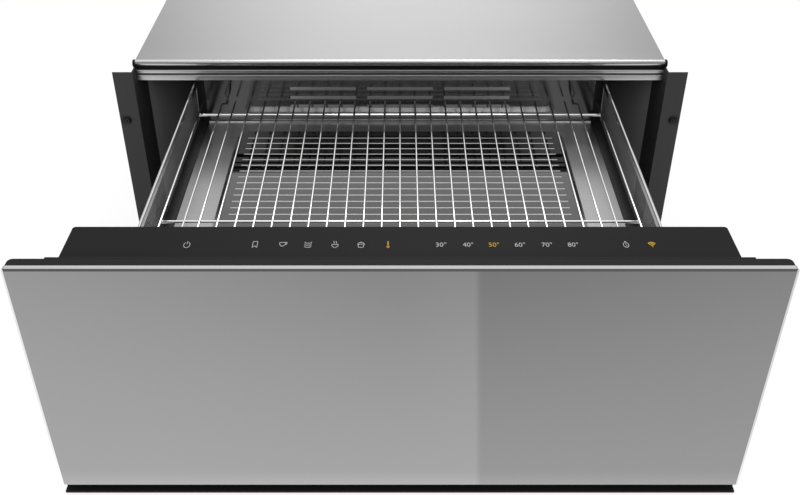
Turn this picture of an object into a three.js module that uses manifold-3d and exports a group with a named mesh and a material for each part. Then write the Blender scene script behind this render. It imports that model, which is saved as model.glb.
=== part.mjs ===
// Built in warming drawer: a steel housing with mounting flanges, and a drawer with a
// mirrored glass front, a touch control strip, a heated tray and a wire rack.
// Millimetres. The drawer stands open, as it does when it is loaded.
// Frame: the origin is under the middle of the front bearer, +X is to the right for someone
// who faces the front, +Y goes back into the cabinet and +Z is up.

import * as THREE from 'three';
import { mergeVertices } from 'three/addons/utils/BufferGeometryUtils.js';
import Module from 'manifold-3d';

const wasm = await Module();
wasm.setup();

// ------------------------------------------------------------------ fits

const seat = 0.3; // gap where two pieces touch
const slideGap = 1.1; // gap between members that run in each other
const weld = 0.4; // how far crossing wires sink into each other

// ------------------------------------------------------------------ driving sizes: the front

const frontWidth = 752;
const frontHeight = 300;
const glassThickness = 6.5;
const bevelWidth = 2.5;
const bevelDepth = 1.5;
const frameInset = 2.5; // door frame's side in from the glass's side
const doorFrameDepth = 10.7;
const doorFrameCorner = 5;
const doorFrameTopDrop = 0.2; // frame top below the glass top
const doorStile = 85; // width of the frame's upright bars
const doorHead = 41; // height of its top bar
const doorFoot = 19; // height of its bottom bar
const doorPanelSheet = 1.2;
const ledgeInset = 0.5; // ledge's end in from the door frame's side
const ledgeThickness = 3;
const ledgeNose = 2; // how far the ledge stands out past the glass
const ledgeGap = 5.6; // open gap between the ledge and the glass above it
const frontFloorGap = 3.4; // under the ledge

// ------------------------------------------------------------------ driving sizes: the housing

const rearRoom = 67.5; // behind the drawer when it is shut
const coverRise = 7; // housing top above the front's top edge
const sideSheet = 1.5;
const coverSheet = 1.2;
const baseSheet = 2;
const rearSheet = 1.5;
const bearerHeight = 6;
const bearerDepth = 20;
const bearerInset = 50.5; // bearer's end in from the housing's side
const bearerSetback = 2; // from the cabinet's face to the front bearer
const rearBearerInset = 13;
const coverGap = 3.5; // from the side panel's outer face in to the cover's edge
const sideTopDrop = 11; // side panels end this far below the cover's top
const lipWidth = 10;
const hemDiameter = 8.3;
const hemSweep = 240; // degrees of roll
const capRadius = 5.3;
const capLength = 3.5;
const capHole = 3;

// ------------------------------------------------------------------ driving sizes: flanges

const flangeWidth = 23; // flange outside the housing's side
const flangeSheet = 1.5;
const returnSheet = 1.4;
const returnDepth = 66;
const flangeTopDrop = 0.5; // below the glass top
const flangeFoot = 12; // above the floor
const screwInset = 8.9; // screw from the flange's outer edge
const upperScrewDrop = 71; // below the glass top
const lowerScrewRise = 61; // above the flange's foot
const dimpleRadius = 9.2;
const dimpleDepth = 3;
const screwHeadRadius = 5.2;
const screwShankRadius = 2;
const screwLength = 18;

// ------------------------------------------------------------------ driving sizes: upper fascia

const fasciaSetback = 17.5; // from the cabinet's face back to the fascia
const gapHeight = 4.6; // dark joint under the cover's hem
const gapRecess = 3;
const sealDepth = 11;
const memberHeight = 14.8;
const memberDepth = 18.5;
const memberSheet = 1.2;
const grooveTop = 4.7; // below the member's top
const grooveHeight = 2.6;
const grooveDepth = 2.5;

// ------------------------------------------------------------------ driving sizes: the slides

const drawerTravel = 410;
const closedGap = 2.5; // between the door frame and the flanges when shut
const slideHeight = 44;
const slideDrop = 162; // slides' top below the glass top
const slideOverlap = 60; // slide length beyond the drawer's travel
const slideStart = 7; // back from the cabinet's face
const slideSheet = 1.4;
const slideDepth = 12.9; // across all three members
const carrierSheet = 1.5;
const carrierFoot = 18;
const carrierTopRise = 2; // above the slides

// ------------------------------------------------------------------ driving sizes: the drawer

const slideRoom = 77.5; // from the housing's side in to the chassis
const chassisSheet = 1;
const chassisFloor = 25;
const chassisBackReach = 67.5; // behind the cabinet's face, drawer open
const chassisSideDrop = 92.5; // chassis sides below the glass top
const chassisTabDrop = 44; // their front tabs below the glass top
const chassisTabLength = 83;
const chassisTabSlope = 2; // how far the tab's rear edge leans back
const sideGlassSheet = 3.2;
const sideGlassOverhang = 0.8; // side glass outside the chassis side under it
const railWidth = 5.2;
const railDrop = 23.5; // rail's top below the glass top
const railHeight = 7.5;
const railRoof = 3.2; // metal above the side glass's edge

const trayFloorDrop = 85.4; // steel floor's upper face below the glass top
const trayFloorInset = 12.5; // floor's side in from the chassis side
const trayLip = 6; // edge turned down along the floor's sides
const trayRimDrop = 46;
const gasketFillet = 9.5; // hollow between the floor and the side glass
const gasketTip = 5; // degrees left off the hollow at its thin edge
const gasketFoot = 7; // gasket below the steel floor
const gasketFrontBar = 4.2;
const traySheet = 1;
const trayFrontSetback = 95; // from the door frame's back to the tray's front wall
const backWallSetback = 22.5; // from the cabinet's face to the back wall
const backWallDrop = 22; // back wall's top below the glass top
const backWallSheet = 1.2;
const louvreGroups = 3;
const louvreRows = 3;
const louvreWidth = 88;
const louvreGroupPitch = 103;
const louvreTopDrop = 34.5; // middle of the top row below the glass top
const louvrePitch = 13;
const louvreHeight = 3.6;
const louvreDepth = 2.2;
const louvreSheet = 0.8;
const louvreSlit = 2.6;

const controlSideGap = 7.8; // strip's end in from the flange's return
const controlReach = 87.3; // from the door frame's back to the strip's rear edge
const controlDrop = 22; // strip below the glass top
const controlGlassSheet = 3;
const controlWall = 2.2;
const controlHeight = 19.5; // glass and moulding together
const boardEndGap = 89.5;
const boardSideGap = 12.65;
const boardSheet = 1.6;

const baseGlassSheet = 4;
const baseGlassRise = 6.4; // glass face above the steel floor
const baseGlassSideGap = 52.2; // from the floor's side to the glass
const baseGlassRearGap = 37.5; // from the back wall to the glass
const baseGlassFrontGap = 17.5; // from the tray's front wall to the glass
const baseGlassCorner = 8;
const bezelWidth = 8;
const bezelLedge = 9;
const bezelLip = 1.4; // glass face above the bezel's rim
const matInset = 13.3; // mat's edge in from the base glass's edge
const matSheet = 3;
const padMargin = 8;
const padHeight = 40;

// ------------------------------------------------------------------ driving sizes: the rack

const rackRise = 35.4; // middle of the long wires above the steel floor
const wireRadius = 1.2;
const crossRadius = 1.75;
const wirePairs = 11;
const hookWireInset = 23.5; // hook wire in from the steel floor's side
const hookWireGap = 17; // from the hook wire to its neighbour
const edgeWireReach = 2.5; // outermost wire out from the steel floor's side
const rackFront = 9; // behind the tray's front wall
const rackRearGap = 8; // from the back wall to the wires' ends
const frontCrossInset = 40.4; // from the wires' front ends
const rearCrossInset = 34.4; // from the wires' rear ends
const crossOverhang = 1.5;
const hookJog = [[4, 3.4, -3], [8.5, 4.4, 8.5], [11, 4.6, 26]]; // inwards, back and up
const studRadius = 1.5;

// ------------------------------------------------------------------ driving sizes: fan and heater

const rotorRadius = 15;
const rotorInset = 2; // rotor's end in from the louvres' end
const rotorBlades = 18;
const bladeSheet = 0.8;
const bladeChord = 6;
const rotorDisc = 1.2;
const shaftRadius = 2;
const shaftReach = 12; // past the rotor into the motor
const fanRise = 32.4; // fan's axis above the steel floor
const fanSetback = 24; // from the back wall to the fan's axis
const scrollRadius = 18.5;
const scrollSheet = 1;
const scrollSweep = 100; // degrees of shell above and below the axis
const motorRadius = 16;
const motorLength = 34;
const motorGap = 6;
const motorBore = 2.6;
const heaterRadius = 3.2;
const heaterDrop = 25.5; // heater below the fan's axis
const heaterInset = 5; // heater's end in from the rotor's end
const heaterFacets = 12;
const heaterBend = 7;

// ------------------------------------------------------------------ driving sizes: small pieces

const openerWidth = 24;
const openerHeadroom = 10; // of the opener's case above the plunger
const openerLength = 48;
const openerLevel = 40;
const plungerRadius = 4;
const plungerHead = 7;
const plungerHeadLength = 3;
const plungerTravel = 4;
const plungerFit = 0.5;
const bufferWidth = 8;
const bufferThickness = 1.7;
const bufferInset = 12;
const bufferEnd = 30;
const boxWidth = 210;
const boxDepth = 40;
const boxHeight = 110;
const boxGrooves = 10;
const grooveHalf = 3;
const boxSideGap = 19; // from the left side panel
const boxDrop = 132; // box's bottom below the glass top
const inletWidth = 30;
const inletHeight = 22;
const inletDepth = 22;
const inletRim = 5;
const inletRimSheet = 2;
const inletSideGap = 99; // from the right side panel
const inletZ = 52;
const inletWall = 3;
const pinRadius = 1.6;
const pinLength = 12;
const pinPitch = 7;
const ventSlots = 8;
const ventLength = 60;
const ventWidth = 4;
const ventPitch = 10;
const ventX = 150;
const ventDrop = 132; // vents' middle below the glass top

// ------------------------------------------------------------------ levels and planes

const glassBottom = frontFloorGap + ledgeThickness + ledgeGap;
const glassTop = glassBottom + frontHeight;
const coverTop = glassTop + coverRise;
const sideTop = coverTop - sideTopDrop;
const baseUnder = bearerHeight + seat;
const baseTop = baseUnder + baseSheet;
const doorFrameWidth = frontWidth - 2 * frameInset;
const flangeSpan = doorFrameWidth;
const housingWidth = flangeSpan - 2 * flangeWidth;
const housingDepth = drawerTravel + chassisBackReach + rearRoom;
const slideLength = drawerTravel + slideOverlap;
const cabinetFace = -bearerDepth / 2 - bearerSetback;
const flangeFace = cabinetFace - flangeSheet;
const housingBack = cabinetFace + housingDepth;
const doorBack = flangeFace - closedGap - drawerTravel;
const glassBack = doorBack - doorFrameDepth - seat;
const glassFront = glassBack - glassThickness;
const fasciaFace = cabinetFace + fasciaSetback;
const sideOuter = housingWidth / 2;
const sideInner = sideOuter - sideSheet;
const returnInner = sideInner - seat - returnSheet;
const coverEdge = sideOuter - coverGap;
const hemRadius = hemDiameter / 2;
const hemAxis = { y: fasciaFace + hemRadius, z: coverTop - hemRadius };
const memberTop = coverTop - hemDiameter - gapHeight;
const memberBottom = memberTop - memberHeight;
const chassisSide = housingWidth / 2 - slideRoom;
const chassisBack = cabinetFace + chassisBackReach;
const sideGlassOuter = chassisSide + sideGlassOverhang;
const sideGlassInner = sideGlassOuter - sideGlassSheet;
const slideInner = chassisSide + seat;
const slideOuter = slideInner + slideDepth;
const slideFront = cabinetFace + slideStart;
const wallFace = cabinetFace + backWallSetback;
const trayFront = doorBack + trayFrontSetback;
const controlTop = glassTop - controlDrop;
const controlRear = doorBack + controlReach;
const fanAxisY = wallFace + fanSetback;
const slideTop = glassTop - slideDrop;
const railTop = glassTop - railDrop;
const trayFloor = glassTop - trayFloorDrop;
const trayFloorHalf = chassisSide - trayFloorInset;
const trayRim = glassTop - trayRimDrop;
const railX = (sideGlassInner + sideGlassOuter) / 2;
const backWallTop = glassTop - backWallDrop;
const controlHalf = returnInner - controlSideGap;
const controlUnderside = controlTop - controlHeight;
const baseGlassHalf = trayFloorHalf - baseGlassSideGap;
const baseGlassTop = trayFloor + baseGlassRise;
const rackLevel = trayFloor + rackRise;
const hookWireX = trayFloorHalf - hookWireInset;
const edgeWireX = trayFloorHalf + edgeWireReach;
const wirePitch = (hookWireX - hookWireGap) / wirePairs;
const fanHeight = trayFloor + fanRise;
const rotorHalf = ((louvreGroups - 1) * louvreGroupPitch + louvreWidth) / 2 - rotorInset;
const inletX = sideInner - inletSideGap;
const ventZ = glassTop - ventDrop;

// ------------------------------------------------------------------ finishes

function finish(color, roughness, metalness) {
  return new THREE.MeshStandardMaterial({ color, roughness, metalness });
}

const mirrorGlass = finish(0x9a9b9d, 0.08, 0.6);
const blackGlass = finish(0x161618, 0.08, 0.0);
const stripGlass = finish(0x2f2f31, 0.35, 0.0);
const clearGlass = finish(0x8a8d90, 0.05, 0.0);
const blackPlastic = finish(0x232325, 0.45, 0.0);
const greyPaint = finish(0x3d3d3f, 0.45, 0.3);
const blackPaint = finish(0x1b1b1c, 0.5, 0.3);
const coverSteel = finish(0xb4b5b7, 0.35, 1.0);
const trimSteel = finish(0x9a9a9b, 0.3, 1.0);
const traySteel = finish(0x8d8d8e, 0.28, 1.0);
const chrome = finish(0xe4e4e6, 0.12, 1.0);
const zinc = finish(0x9fa2a4, 0.45, 1.0);
const rubber = finish(0x121212, 0.8, 0.0);
const greenBoard = finish(0x1f4a30, 0.6, 0.0);
const silicone = finish(0x8a3b22, 0.7, 0.0);
const mineralWool = finish(0xc9c2a8, 0.95, 0.0);
const paleNylon = finish(0xd8d6cf, 0.5, 0.0);

// ------------------------------------------------------------------ making solids

// A closed geometry as a solid that can be cut and joined.
function solid(geometry) {
  geometry.deleteAttribute('normal');
  geometry.deleteAttribute('uv');
  const merged = mergeVertices(geometry, 1e-4);
  const mesh = new wasm.Mesh({
    numProp: 3,
    vertProperties: Float32Array.from(merged.attributes.position.array),
    triVerts: Uint32Array.from(merged.index.array),
  });
  return new wasm.Manifold(mesh);
}

function geometryOf(body) {
  const mesh = body.getMesh();
  const geometry = new THREE.BufferGeometry();
  geometry.setAttribute('position', new THREE.BufferAttribute(mesh.vertProperties, 3));
  geometry.setIndex(new THREE.BufferAttribute(mesh.triVerts, 1));
  geometry.computeVertexNormals();
  return geometry;
}

// A box between two values on each axis.
function block([x0, x1], [y0, y1], [z0, z1]) {
  const geometry = new THREE.BoxGeometry(x1 - x0, y1 - y0, z1 - z0);
  geometry.translate((x0 + x1) / 2, (y0 + y1) / 2, (z0 + z1) / 2);
  return solid(geometry);
}

function extrude(points, length, basis) {
  const shape = new THREE.Shape(points.map(([a, b]) => new THREE.Vector2(a, b)));
  const geometry = new THREE.ExtrudeGeometry(shape, { depth: length, bevelEnabled: false });
  geometry.applyMatrix4(basis);
  return solid(geometry);
}

const axisX = new THREE.Vector3(1, 0, 0);
const axisY = new THREE.Vector3(0, 1, 0);
const axisZ = new THREE.Vector3(0, 0, 1);

// An outline in Y and Z, carried along X.
function alongX(points, [x0, x1]) {
  const basis = new THREE.Matrix4().makeBasis(axisY, axisZ, axisX).setPosition(x0, 0, 0);
  return extrude(points, x1 - x0, basis);
}

// An outline in X and Z, carried along Y.
function alongY(points, [y0, y1]) {
  const backwards = axisY.clone().negate();
  const basis = new THREE.Matrix4().makeBasis(axisX, axisZ, backwards).setPosition(0, y1, 0);
  return extrude(points, y1 - y0, basis);
}

// An outline in X and Y, carried along Z.
function alongZ(points, [z0, z1]) {
  return extrude(points, z1 - z0, new THREE.Matrix4().setPosition(0, 0, z0));
}

// A rectangle in plan with rounded corners.
function roundedPlan([x0, x1], [y0, y1], radius) {
  const corner = (x, y, from) => arc([x, y], radius, from, from + 90, 6);
  return [
    ...corner(x1 - radius, y1 - radius, 0), ...corner(x0 + radius, y1 - radius, 90),
    ...corner(x0 + radius, y0 + radius, 180), ...corner(x1 - radius, y0 + radius, 270),
  ];
}

// Points of an arc round a centre, from one angle to another in degrees.
function arc([a, b], radius, from, to, steps) {
  const points = [];
  for (let i = 0; i <= steps; i += 1) {
    const angle = THREE.MathUtils.degToRad(from + ((to - from) * i) / steps);
    points.push([a + radius * Math.cos(angle), b + radius * Math.sin(angle)]);
  }
  return points;
}

// The outline of a bent sheet: a path, and the same path set off to its left with mitred bends.
function sheet(path, thickness) {
  const unit = (p, q) => {
    const length = Math.hypot(q[0] - p[0], q[1] - p[1]);
    return [(q[0] - p[0]) / length, (q[1] - p[1]) / length];
  };
  const offset = path.map((point, i) => {
    const before = i > 0 ? unit(path[i - 1], point) : unit(point, path[i + 1]);
    const after = i < path.length - 1 ? unit(point, path[i + 1]) : before;
    const sum = [before[0] + after[0], before[1] + after[1]];
    const mitre = (thickness * 2) / (sum[0] ** 2 + sum[1] ** 2);
    return [point[0] - sum[1] * mitre, point[1] + sum[0] * mitre];
  });
  return path.concat(offset.reverse());
}

// A round bar along an axis, from one value to another, through a point on the other two axes.
function rod(axis, [from, to], [a, b], radius, sides = 16, endRadius = radius) {
  const geometry = new THREE.CylinderGeometry(endRadius, radius, to - from, sides);
  const middle = (from + to) / 2;
  if (axis === 'x') {
    geometry.rotateZ(-Math.PI / 2).translate(middle, a, b);
  } else if (axis === 'y') {
    geometry.translate(a, middle, b);
  } else {
    geometry.rotateX(Math.PI / 2).translate(a, b, middle);
  }
  return solid(geometry);
}

// The section of a round bar.
function disc(radius, sides) {
  const points = arc([0, 0], radius, 0, 360 - 360 / sides, sides - 1);
  return new THREE.Shape(points.map(([a, b]) => new THREE.Vector2(a, b)));
}

// A round wire through a list of points, with straight runs and sharp bends kept short.
function wire(points, radius, sides, steps) {
  const path = new THREE.CatmullRomCurve3(points.map((p) => new THREE.Vector3(...p)), false,
    'catmullrom', 0.1);
  return solid(new THREE.ExtrudeGeometry(disc(radius, sides), { steps, extrudePath: path }));
}

function mirrored(body) {
  return body.mirror([1, 0, 0]);
}

const drawing = new THREE.Group();

function add(name, body, material) {
  const mesh = new THREE.Mesh(geometryOf(body), material);
  mesh.name = name;
  drawing.add(mesh);
}

// The same piece on the left and on the right; it is drawn on the right.
function addPair(name, body, material) {
  add(`right_${name}`, body, material);
  add(`left_${name}`, mirrored(body), material);
}

// ------------------------------------------------------------------ housing

// Top sheet with a rolled front hem, side lips and a rear lip.
function topCover() {
  const middle = [hemAxis.y, hemAxis.z];
  const roll = arc(middle, hemRadius, 90, 90 + hemSweep, 14);
  const rearLip = [housingBack, coverTop - lipWidth];
  const path = [rearLip, [housingBack, coverTop], ...roll];
  const skin = alongX(sheet(path, coverSheet), [-coverEdge, coverEdge]);
  const lipFront = fasciaFace + memberDepth + 2;
  const lip = block([coverEdge - coverSheet, coverEdge], [lipFront, housingBack],
    [sideTop + seat, coverTop - coverSheet / 2]);
  return skin.add(lip).add(mirrored(lip));
}

function basePlate() {
  const half = sideInner - seat;
  return block([-half, half], [cabinetFace + seat, housingBack - rearSheet - seat],
    [baseUnder, baseTop]);
}

// Flat side with a lip bent in along its top and one that sits on the base plate.
function sidePanel() {
  const y = [cabinetFace + seat, housingBack];
  const lipY = [flangeFace + returnDepth + 6, housingBack - rearSheet - seat];
  const wall = block([sideInner, sideOuter], y, [baseUnder, sideTop]);
  const lipX = [sideInner - lipWidth, sideInner + sideSheet / 2];
  const topLip = block(lipX, lipY, [sideTop - sideSheet, sideTop]);
  const baseLip = block(lipX, lipY, [baseTop + seat, baseTop + seat + sideSheet]);
  return wall.add(topLip).add(baseLip);
}

// Back sheet with two rows of upright vent slots and the cut-out for the inlet.
function rearPanel() {
  const half = sideInner - seat;
  const y = [housingBack - rearSheet, housingBack];
  const cutY = [y[0] - 1, y[1] + 1];
  const lipClear = sideTop - sideSheet - seat;
  let panel = block([-half, half], y, [baseTop + seat, lipClear]);
  for (let i = 0; i < ventSlots; i += 1) {
    const x = ventX + (i - (ventSlots - 1) / 2) * ventPitch;
    const slot = block([x - ventWidth / 2, x + ventWidth / 2], cutY,
      [ventZ - ventLength / 2, ventZ + ventLength / 2]);
    panel = panel.subtract(slot).subtract(mirrored(slot));
  }
  const hole = block([inletX - inletWidth / 2 - seat, inletX + inletWidth / 2 + seat], cutY,
    [inletZ - inletHeight / 2 - seat, inletZ + inletHeight / 2 + seat]);
  return panel.subtract(hole);
}

// Upper cross-member: a channel whose face carries one pressed groove.
function crossMember() {
  const face = fasciaFace;
  const rear = face + memberDepth;
  const grooveUp = memberTop - grooveTop;
  const grooveDown = grooveUp - grooveHeight;
  const slope = 0.5;
  const path = [
    [rear, memberTop], [face, memberTop], [face, grooveUp], [face + grooveDepth, grooveUp - slope],
    [face + grooveDepth, grooveDown + slope], [face, grooveDown], [face, memberBottom],
    [rear, memberBottom],
  ];
  const half = returnInner - seat;
  return alongX(sheet(path, memberSheet), [-half, half]);
}

// Rubber strip in the dark joint between the hem and the cross-member.
function frontSeal() {
  const half = returnInner - seat - 0.1;
  const y = fasciaFace + gapRecess;
  return block([-half, half], [y, y + sealDepth], [memberTop + seat, memberTop + gapHeight - seat]);
}

// Plastic ring that closes the rolled hem at the cover's corner.
function hemCap() {
  const x = [coverEdge + seat, coverEdge + seat + capLength];
  const at = [hemAxis.y, coverTop - capRadius];
  return rod('x', x, at, capRadius, 20)
    .subtract(rod('x', [x[1] - capLength / 2, x[1] + 1], at, capHole, 16));
}

const screwHeights = [glassTop - upperScrewDrop, flangeFoot + lowerScrewRise];

// Angle of steel: the flange lies on the cabinet's edge and the return goes back into it.
function flange() {
  const outer = flangeSpan / 2;
  const returnOuter = returnInner + returnSheet;
  const top = glassTop - flangeTopDrop;
  const z = [flangeFoot, top];
  let body = alongZ([
    [returnInner, flangeFace], [outer, flangeFace], [outer, cabinetFace],
    [returnOuter, cabinetFace], [returnOuter, flangeFace + returnDepth],
    [returnInner, flangeFace + returnDepth],
  ], z);
  const capClear = block([returnInner - 1, returnOuter + 1],
    [hemAxis.y - capRadius - 1, flangeFace + returnDepth + 1],
    [coverTop - 2 * capRadius - seat, top + 1]);
  body = body.subtract(capClear);
  const x = outer - screwInset;
  for (const height of screwHeights) {
    body = body.subtract(dimpleCut(x, height)).add(dimpleCup(x, height));
  }
  return body;
}

// The cylinder that a pressed dimple takes out of the flange.
function dimpleCut(x, z) {
  const depth = cabinetFace - flangeFace + 1;
  return rod('y', [flangeFace - 0.5, flangeFace - 0.5 + depth], [x, z], dimpleRadius, 24);
}

// The pressed dimple itself: a dished ring that holds the screw's head.
function dimpleCup(x, z) {
  const inner = screwShankRadius + seat;
  const face = flangeFace;
  const sheetY = flangeSheet;
  const flat = screwHeadRadius;
  const profile = [
    [inner, dimpleDepth], [flat, dimpleDepth], [dimpleRadius, 0], [dimpleRadius + 0.2, 0],
    [dimpleRadius + 0.2, sheetY], [flat + sheetY, dimpleDepth + sheetY],
    [inner, dimpleDepth + sheetY], [inner, dimpleDepth],
  ];
  const cup = new THREE.LatheGeometry(profile.map(([r, y]) => new THREE.Vector2(r, y)), 24);
  cup.translate(x, face, z);
  const reach = 2 * dimpleRadius;
  const edge = flangeSpan / 2;
  return solid(cup).intersect(block([x - reach, edge], [face - 1, face + 2 * dimpleDepth],
    [z - reach, z + reach]));
}

// Pan-head screw with a cross recess.
function flangeScrew(height) {
  const x = flangeSpan / 2 - screwInset;
  const under = flangeFace + dimpleDepth - seat;
  const headLength = dimpleDepth - 0.8;
  const head = rod('y', [under - headLength, under], [x, height], screwHeadRadius * 0.62, 16,
    screwHeadRadius - seat);
  const shank = rod('y', [under - 0.2, under + screwLength], [x, height], screwShankRadius, 12);
  const cross = [[0.5, 2.2], [2.2, 0.5]].map(([a, b]) => block([x - a, x + a],
    [under - headLength - 1, under - headLength + 1], [height - b, height + b]));
  return head.add(shank).subtract(cross[0]).subtract(cross[1]);
}

function bearer(y) {
  const half = sideOuter - bearerInset;
  return block([-half, half], [y - bearerDepth / 2, y + bearerDepth / 2], [0, bearerHeight]);
}

// Upright that stands on the base plate and carries the outer slide.
function slideCarrier() {
  const inner = slideOuter + seat;
  const path = [
    [inner, slideTop + carrierTopRise], [inner, baseTop + seat],
    [inner + carrierFoot, baseTop + seat],
  ];
  return alongY(sheet(path, carrierSheet), [slideFront, slideFront + slideLength]);
}

// ------------------------------------------------------------------ slides

// A channel lying on its side; open says which way along X its mouth looks.
function channel([x0, x1], [z0, z1], thickness, open, y) {
  const [web, mouth] = open < 0 ? [x1, x0] : [x0, x1];
  const path = [[mouth, z0], [web, z0], [web, z1], [mouth, z1]];
  const outline = open < 0 ? path : path.slice().reverse();
  return alongY(sheet(outline, thickness), y);
}

// Outer, middle and inner members, each set inside the one before it.
function slideMembers() {
  const bottom = slideTop - slideHeight;
  const step = slideSheet + slideGap;
  const outerY = [slideFront, slideFront + slideLength];
  const middleY = outerY.map((y) => y - drawerTravel / 2);
  const innerY = outerY.map((y) => y - drawerTravel);
  const outerX = [slideOuter - slideDepth * 0.62, slideOuter];
  const middleX = [outerX[0] - slideGap, slideOuter - step];
  const innerX = [slideInner, slideOuter - 2 * step + slideSheet - slideGap];
  return {
    outer: channel(outerX, [bottom, slideTop], slideSheet, -1, outerY),
    middle: channel(middleX, [bottom + step, slideTop - step], slideSheet, -1, middleY),
    inner: channel(innerX, [bottom + 2 * step, slideTop - 2 * step], slideSheet, 1, innerY),
  };
}

// ------------------------------------------------------------------ push-to-open

const openerX = slideOuter + seat + carrierSheet + seat + openerWidth / 2;
const plungerTip = flangeFace - closedGap + seat;

// Case that stands on the carrier's foot, with a blind bore for the plunger.
function openerBody() {
  const front = plungerTip + plungerHeadLength + plungerTravel + seat;
  const y = [front, front + openerLength];
  const body = block([openerX - openerWidth / 2, openerX + openerWidth / 2], y,
    [baseTop + seat + carrierSheet + seat, openerLevel + openerHeadroom]);
  const bore = rod('y', [y[0] - 1, y[1] - 4], [openerX, openerLevel], plungerRadius + plungerFit, 20);
  return body.subtract(bore);
}

function openerPlunger() {
  const at = [openerX, openerLevel];
  const back = plungerTip + plungerHeadLength;
  const head = rod('y', [plungerTip, back], at, plungerHead, 20);
  const stem = rod('y', [back - 0.5, back + openerLength * 0.6], at, plungerRadius, 16);
  return head.add(stem);
}

// ------------------------------------------------------------------ rear of the housing

// Closed case with cooling grooves down its front.
function electronicsBox() {
  const x0 = boxSideGap - sideInner;
  const y1 = housingBack - rearSheet - seat;
  const z0 = glassTop - boxDrop;
  let body = block([x0, x0 + boxWidth], [y1 - boxDepth, y1], [z0, z0 + boxHeight]);
  for (let i = 1; i <= boxGrooves; i += 1) {
    const x = x0 + (i * boxWidth) / (boxGrooves + 1);
    const groove = block([x - grooveHalf, x + grooveHalf], [y1 - boxDepth - 1, y1 - boxDepth + 2],
      [z0 + 2 * grooveHalf, z0 + boxHeight - 2 * grooveHalf]);
    body = body.subtract(groove);
  }
  return body;
}

// Appliance inlet: a rimmed socket with three pins.
function mainsInlet() {
  const z = [inletZ - inletHeight / 2, inletZ + inletHeight / 2];
  const x = [inletX - inletWidth / 2, inletX + inletWidth / 2];
  const face = housingBack + seat + inletRimSheet;
  const body = block(x, [face - inletDepth, face], z);
  const rim = block([x[0] - inletRim, x[1] + inletRim], [housingBack + seat, face],
    [z[0] - inletRim, z[1] + inletRim]);
  const hollow = block([x[0] + inletWall, x[1] - inletWall],
    [face - inletDepth + inletWall, face + 1], [z[0] + inletWall, z[1] - inletWall]);
  let socket = body.add(rim).subtract(hollow);
  for (const side of [-1, 0, 1]) {
    const from = face - inletDepth + inletWall - 0.5;
    socket = socket.add(rod('y', [from, from + pinLength], [inletX + side * pinPitch, inletZ],
      pinRadius, 10));
  }
  return socket;
}

// ------------------------------------------------------------------ door

// Pane with a narrow bevel round its front face.
function frontGlass() {
  const half = frontWidth / 2;
  const upright = alongX([
    [glassBack, glassBottom], [glassBack, glassTop], [glassFront + bevelDepth, glassTop],
    [glassFront, glassTop - bevelWidth], [glassFront, glassBottom + bevelWidth],
    [glassFront + bevelDepth, glassBottom],
  ], [-half, half]);
  const plan = alongZ([
    [-half, glassBack], [-half, glassFront + bevelDepth], [-half + bevelWidth, glassFront],
    [half - bevelWidth, glassFront], [half, glassFront + bevelDepth], [half, glassBack],
  ], [glassBottom, glassTop]);
  return upright.intersect(plan);
}

const windowHalf = doorFrameWidth / 2 - doorStile;
const windowZ = [glassBottom + doorFoot, glassTop - doorHead];

function doorFrame() {
  const half = doorFrameWidth / 2;
  const front = doorBack - doorFrameDepth;
  const r = doorFrameCorner;
  const plan = [
    [-half, front], [half, front], ...arc([half - r, doorBack - r], r, 0, 90, 5),
    ...arc([-half + r, doorBack - r], r, 90, 180, 5),
  ];
  const body = alongZ(plan, [glassBottom - seat, glassTop - doorFrameTopDrop]);
  const opening = block([-windowHalf, windowHalf], [front - 1, doorBack + 1], windowZ);
  return body.subtract(opening);
}

function doorInnerPanel() {
  const half = windowHalf - seat;
  return block([-half, half], [doorBack - doorPanelSheet - 1, doorBack - 1],
    [windowZ[0] + seat, windowZ[1] - seat]);
}

// Black trim under the glass, with a leg that stands up behind it.
function doorLedge() {
  const front = doorBack - doorFrameDepth;
  const top = frontFloorGap + ledgeThickness;
  const half = doorFrameWidth / 2 - ledgeInset;
  return alongX([
    [glassFront - ledgeNose, frontFloorGap], [doorBack, frontFloorGap],
    [doorBack, glassBottom - 2 * seat], [front, glassBottom - 2 * seat], [front, top],
    [glassFront - ledgeNose, top],
  ], [-half, half]);
}

// Upright strip of rubber that meets the flange when the drawer is shut.
function doorBuffer() {
  const x = flangeSpan / 2 - bufferInset;
  return block([x - bufferWidth / 2, x + bufferWidth / 2],
    [doorBack + seat, doorBack + seat + bufferThickness],
    [glassBottom + bufferEnd, glassTop - bufferEnd]);
}

// ------------------------------------------------------------------ control strip

function controlGlass() {
  const front = doorBack + seat + controlWall + seat;
  return block([-controlHalf, controlHalf], [front, controlRear],
    [controlTop - controlGlassSheet, controlTop]);
}

// Moulding under the glass, open below, with an upstand behind the door frame.
function controlHousing() {
  const half = controlHalf;
  const wall = controlWall;
  const front = doorBack + seat;
  const shelf = controlTop - controlGlassSheet - seat;
  const outside = block([-half, half], [front, controlRear], [controlUnderside, shelf]);
  const inside = block([-half + wall, half - wall], [front + wall, controlRear - wall],
    [controlUnderside - 1, shelf - wall]);
  const upstand = block([-half, half], [front, front + wall],
    [controlUnderside, glassTop - doorFrameTopDrop]);
  return outside.subtract(inside).add(upstand);
}

function controlBoard() {
  const half = controlHalf - boardEndGap;
  const top = controlTop - controlGlassSheet - seat - controlWall - seat;
  return block([-half, half], [doorBack + boardSideGap, controlRear - boardSideGap],
    [top - boardSheet, top]);
}

// ------------------------------------------------------------------ tray

// Steel floor with its sides turned down and a wall at the front.
function tray() {
  const x = trayFloorHalf;
  const low = trayFloor - trayLip;
  const path = [[-x, low], [-x, trayFloor], [x, trayFloor], [x, low]];
  const shell = alongY(sheet(path, -traySheet), [trayFront, wallFace - seat]);
  const wall = block([-x, x], [trayFront, trayFront + traySheet],
    [trayFloor - traySheet / 2, trayRim]);
  return shell.add(wall);
}

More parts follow.
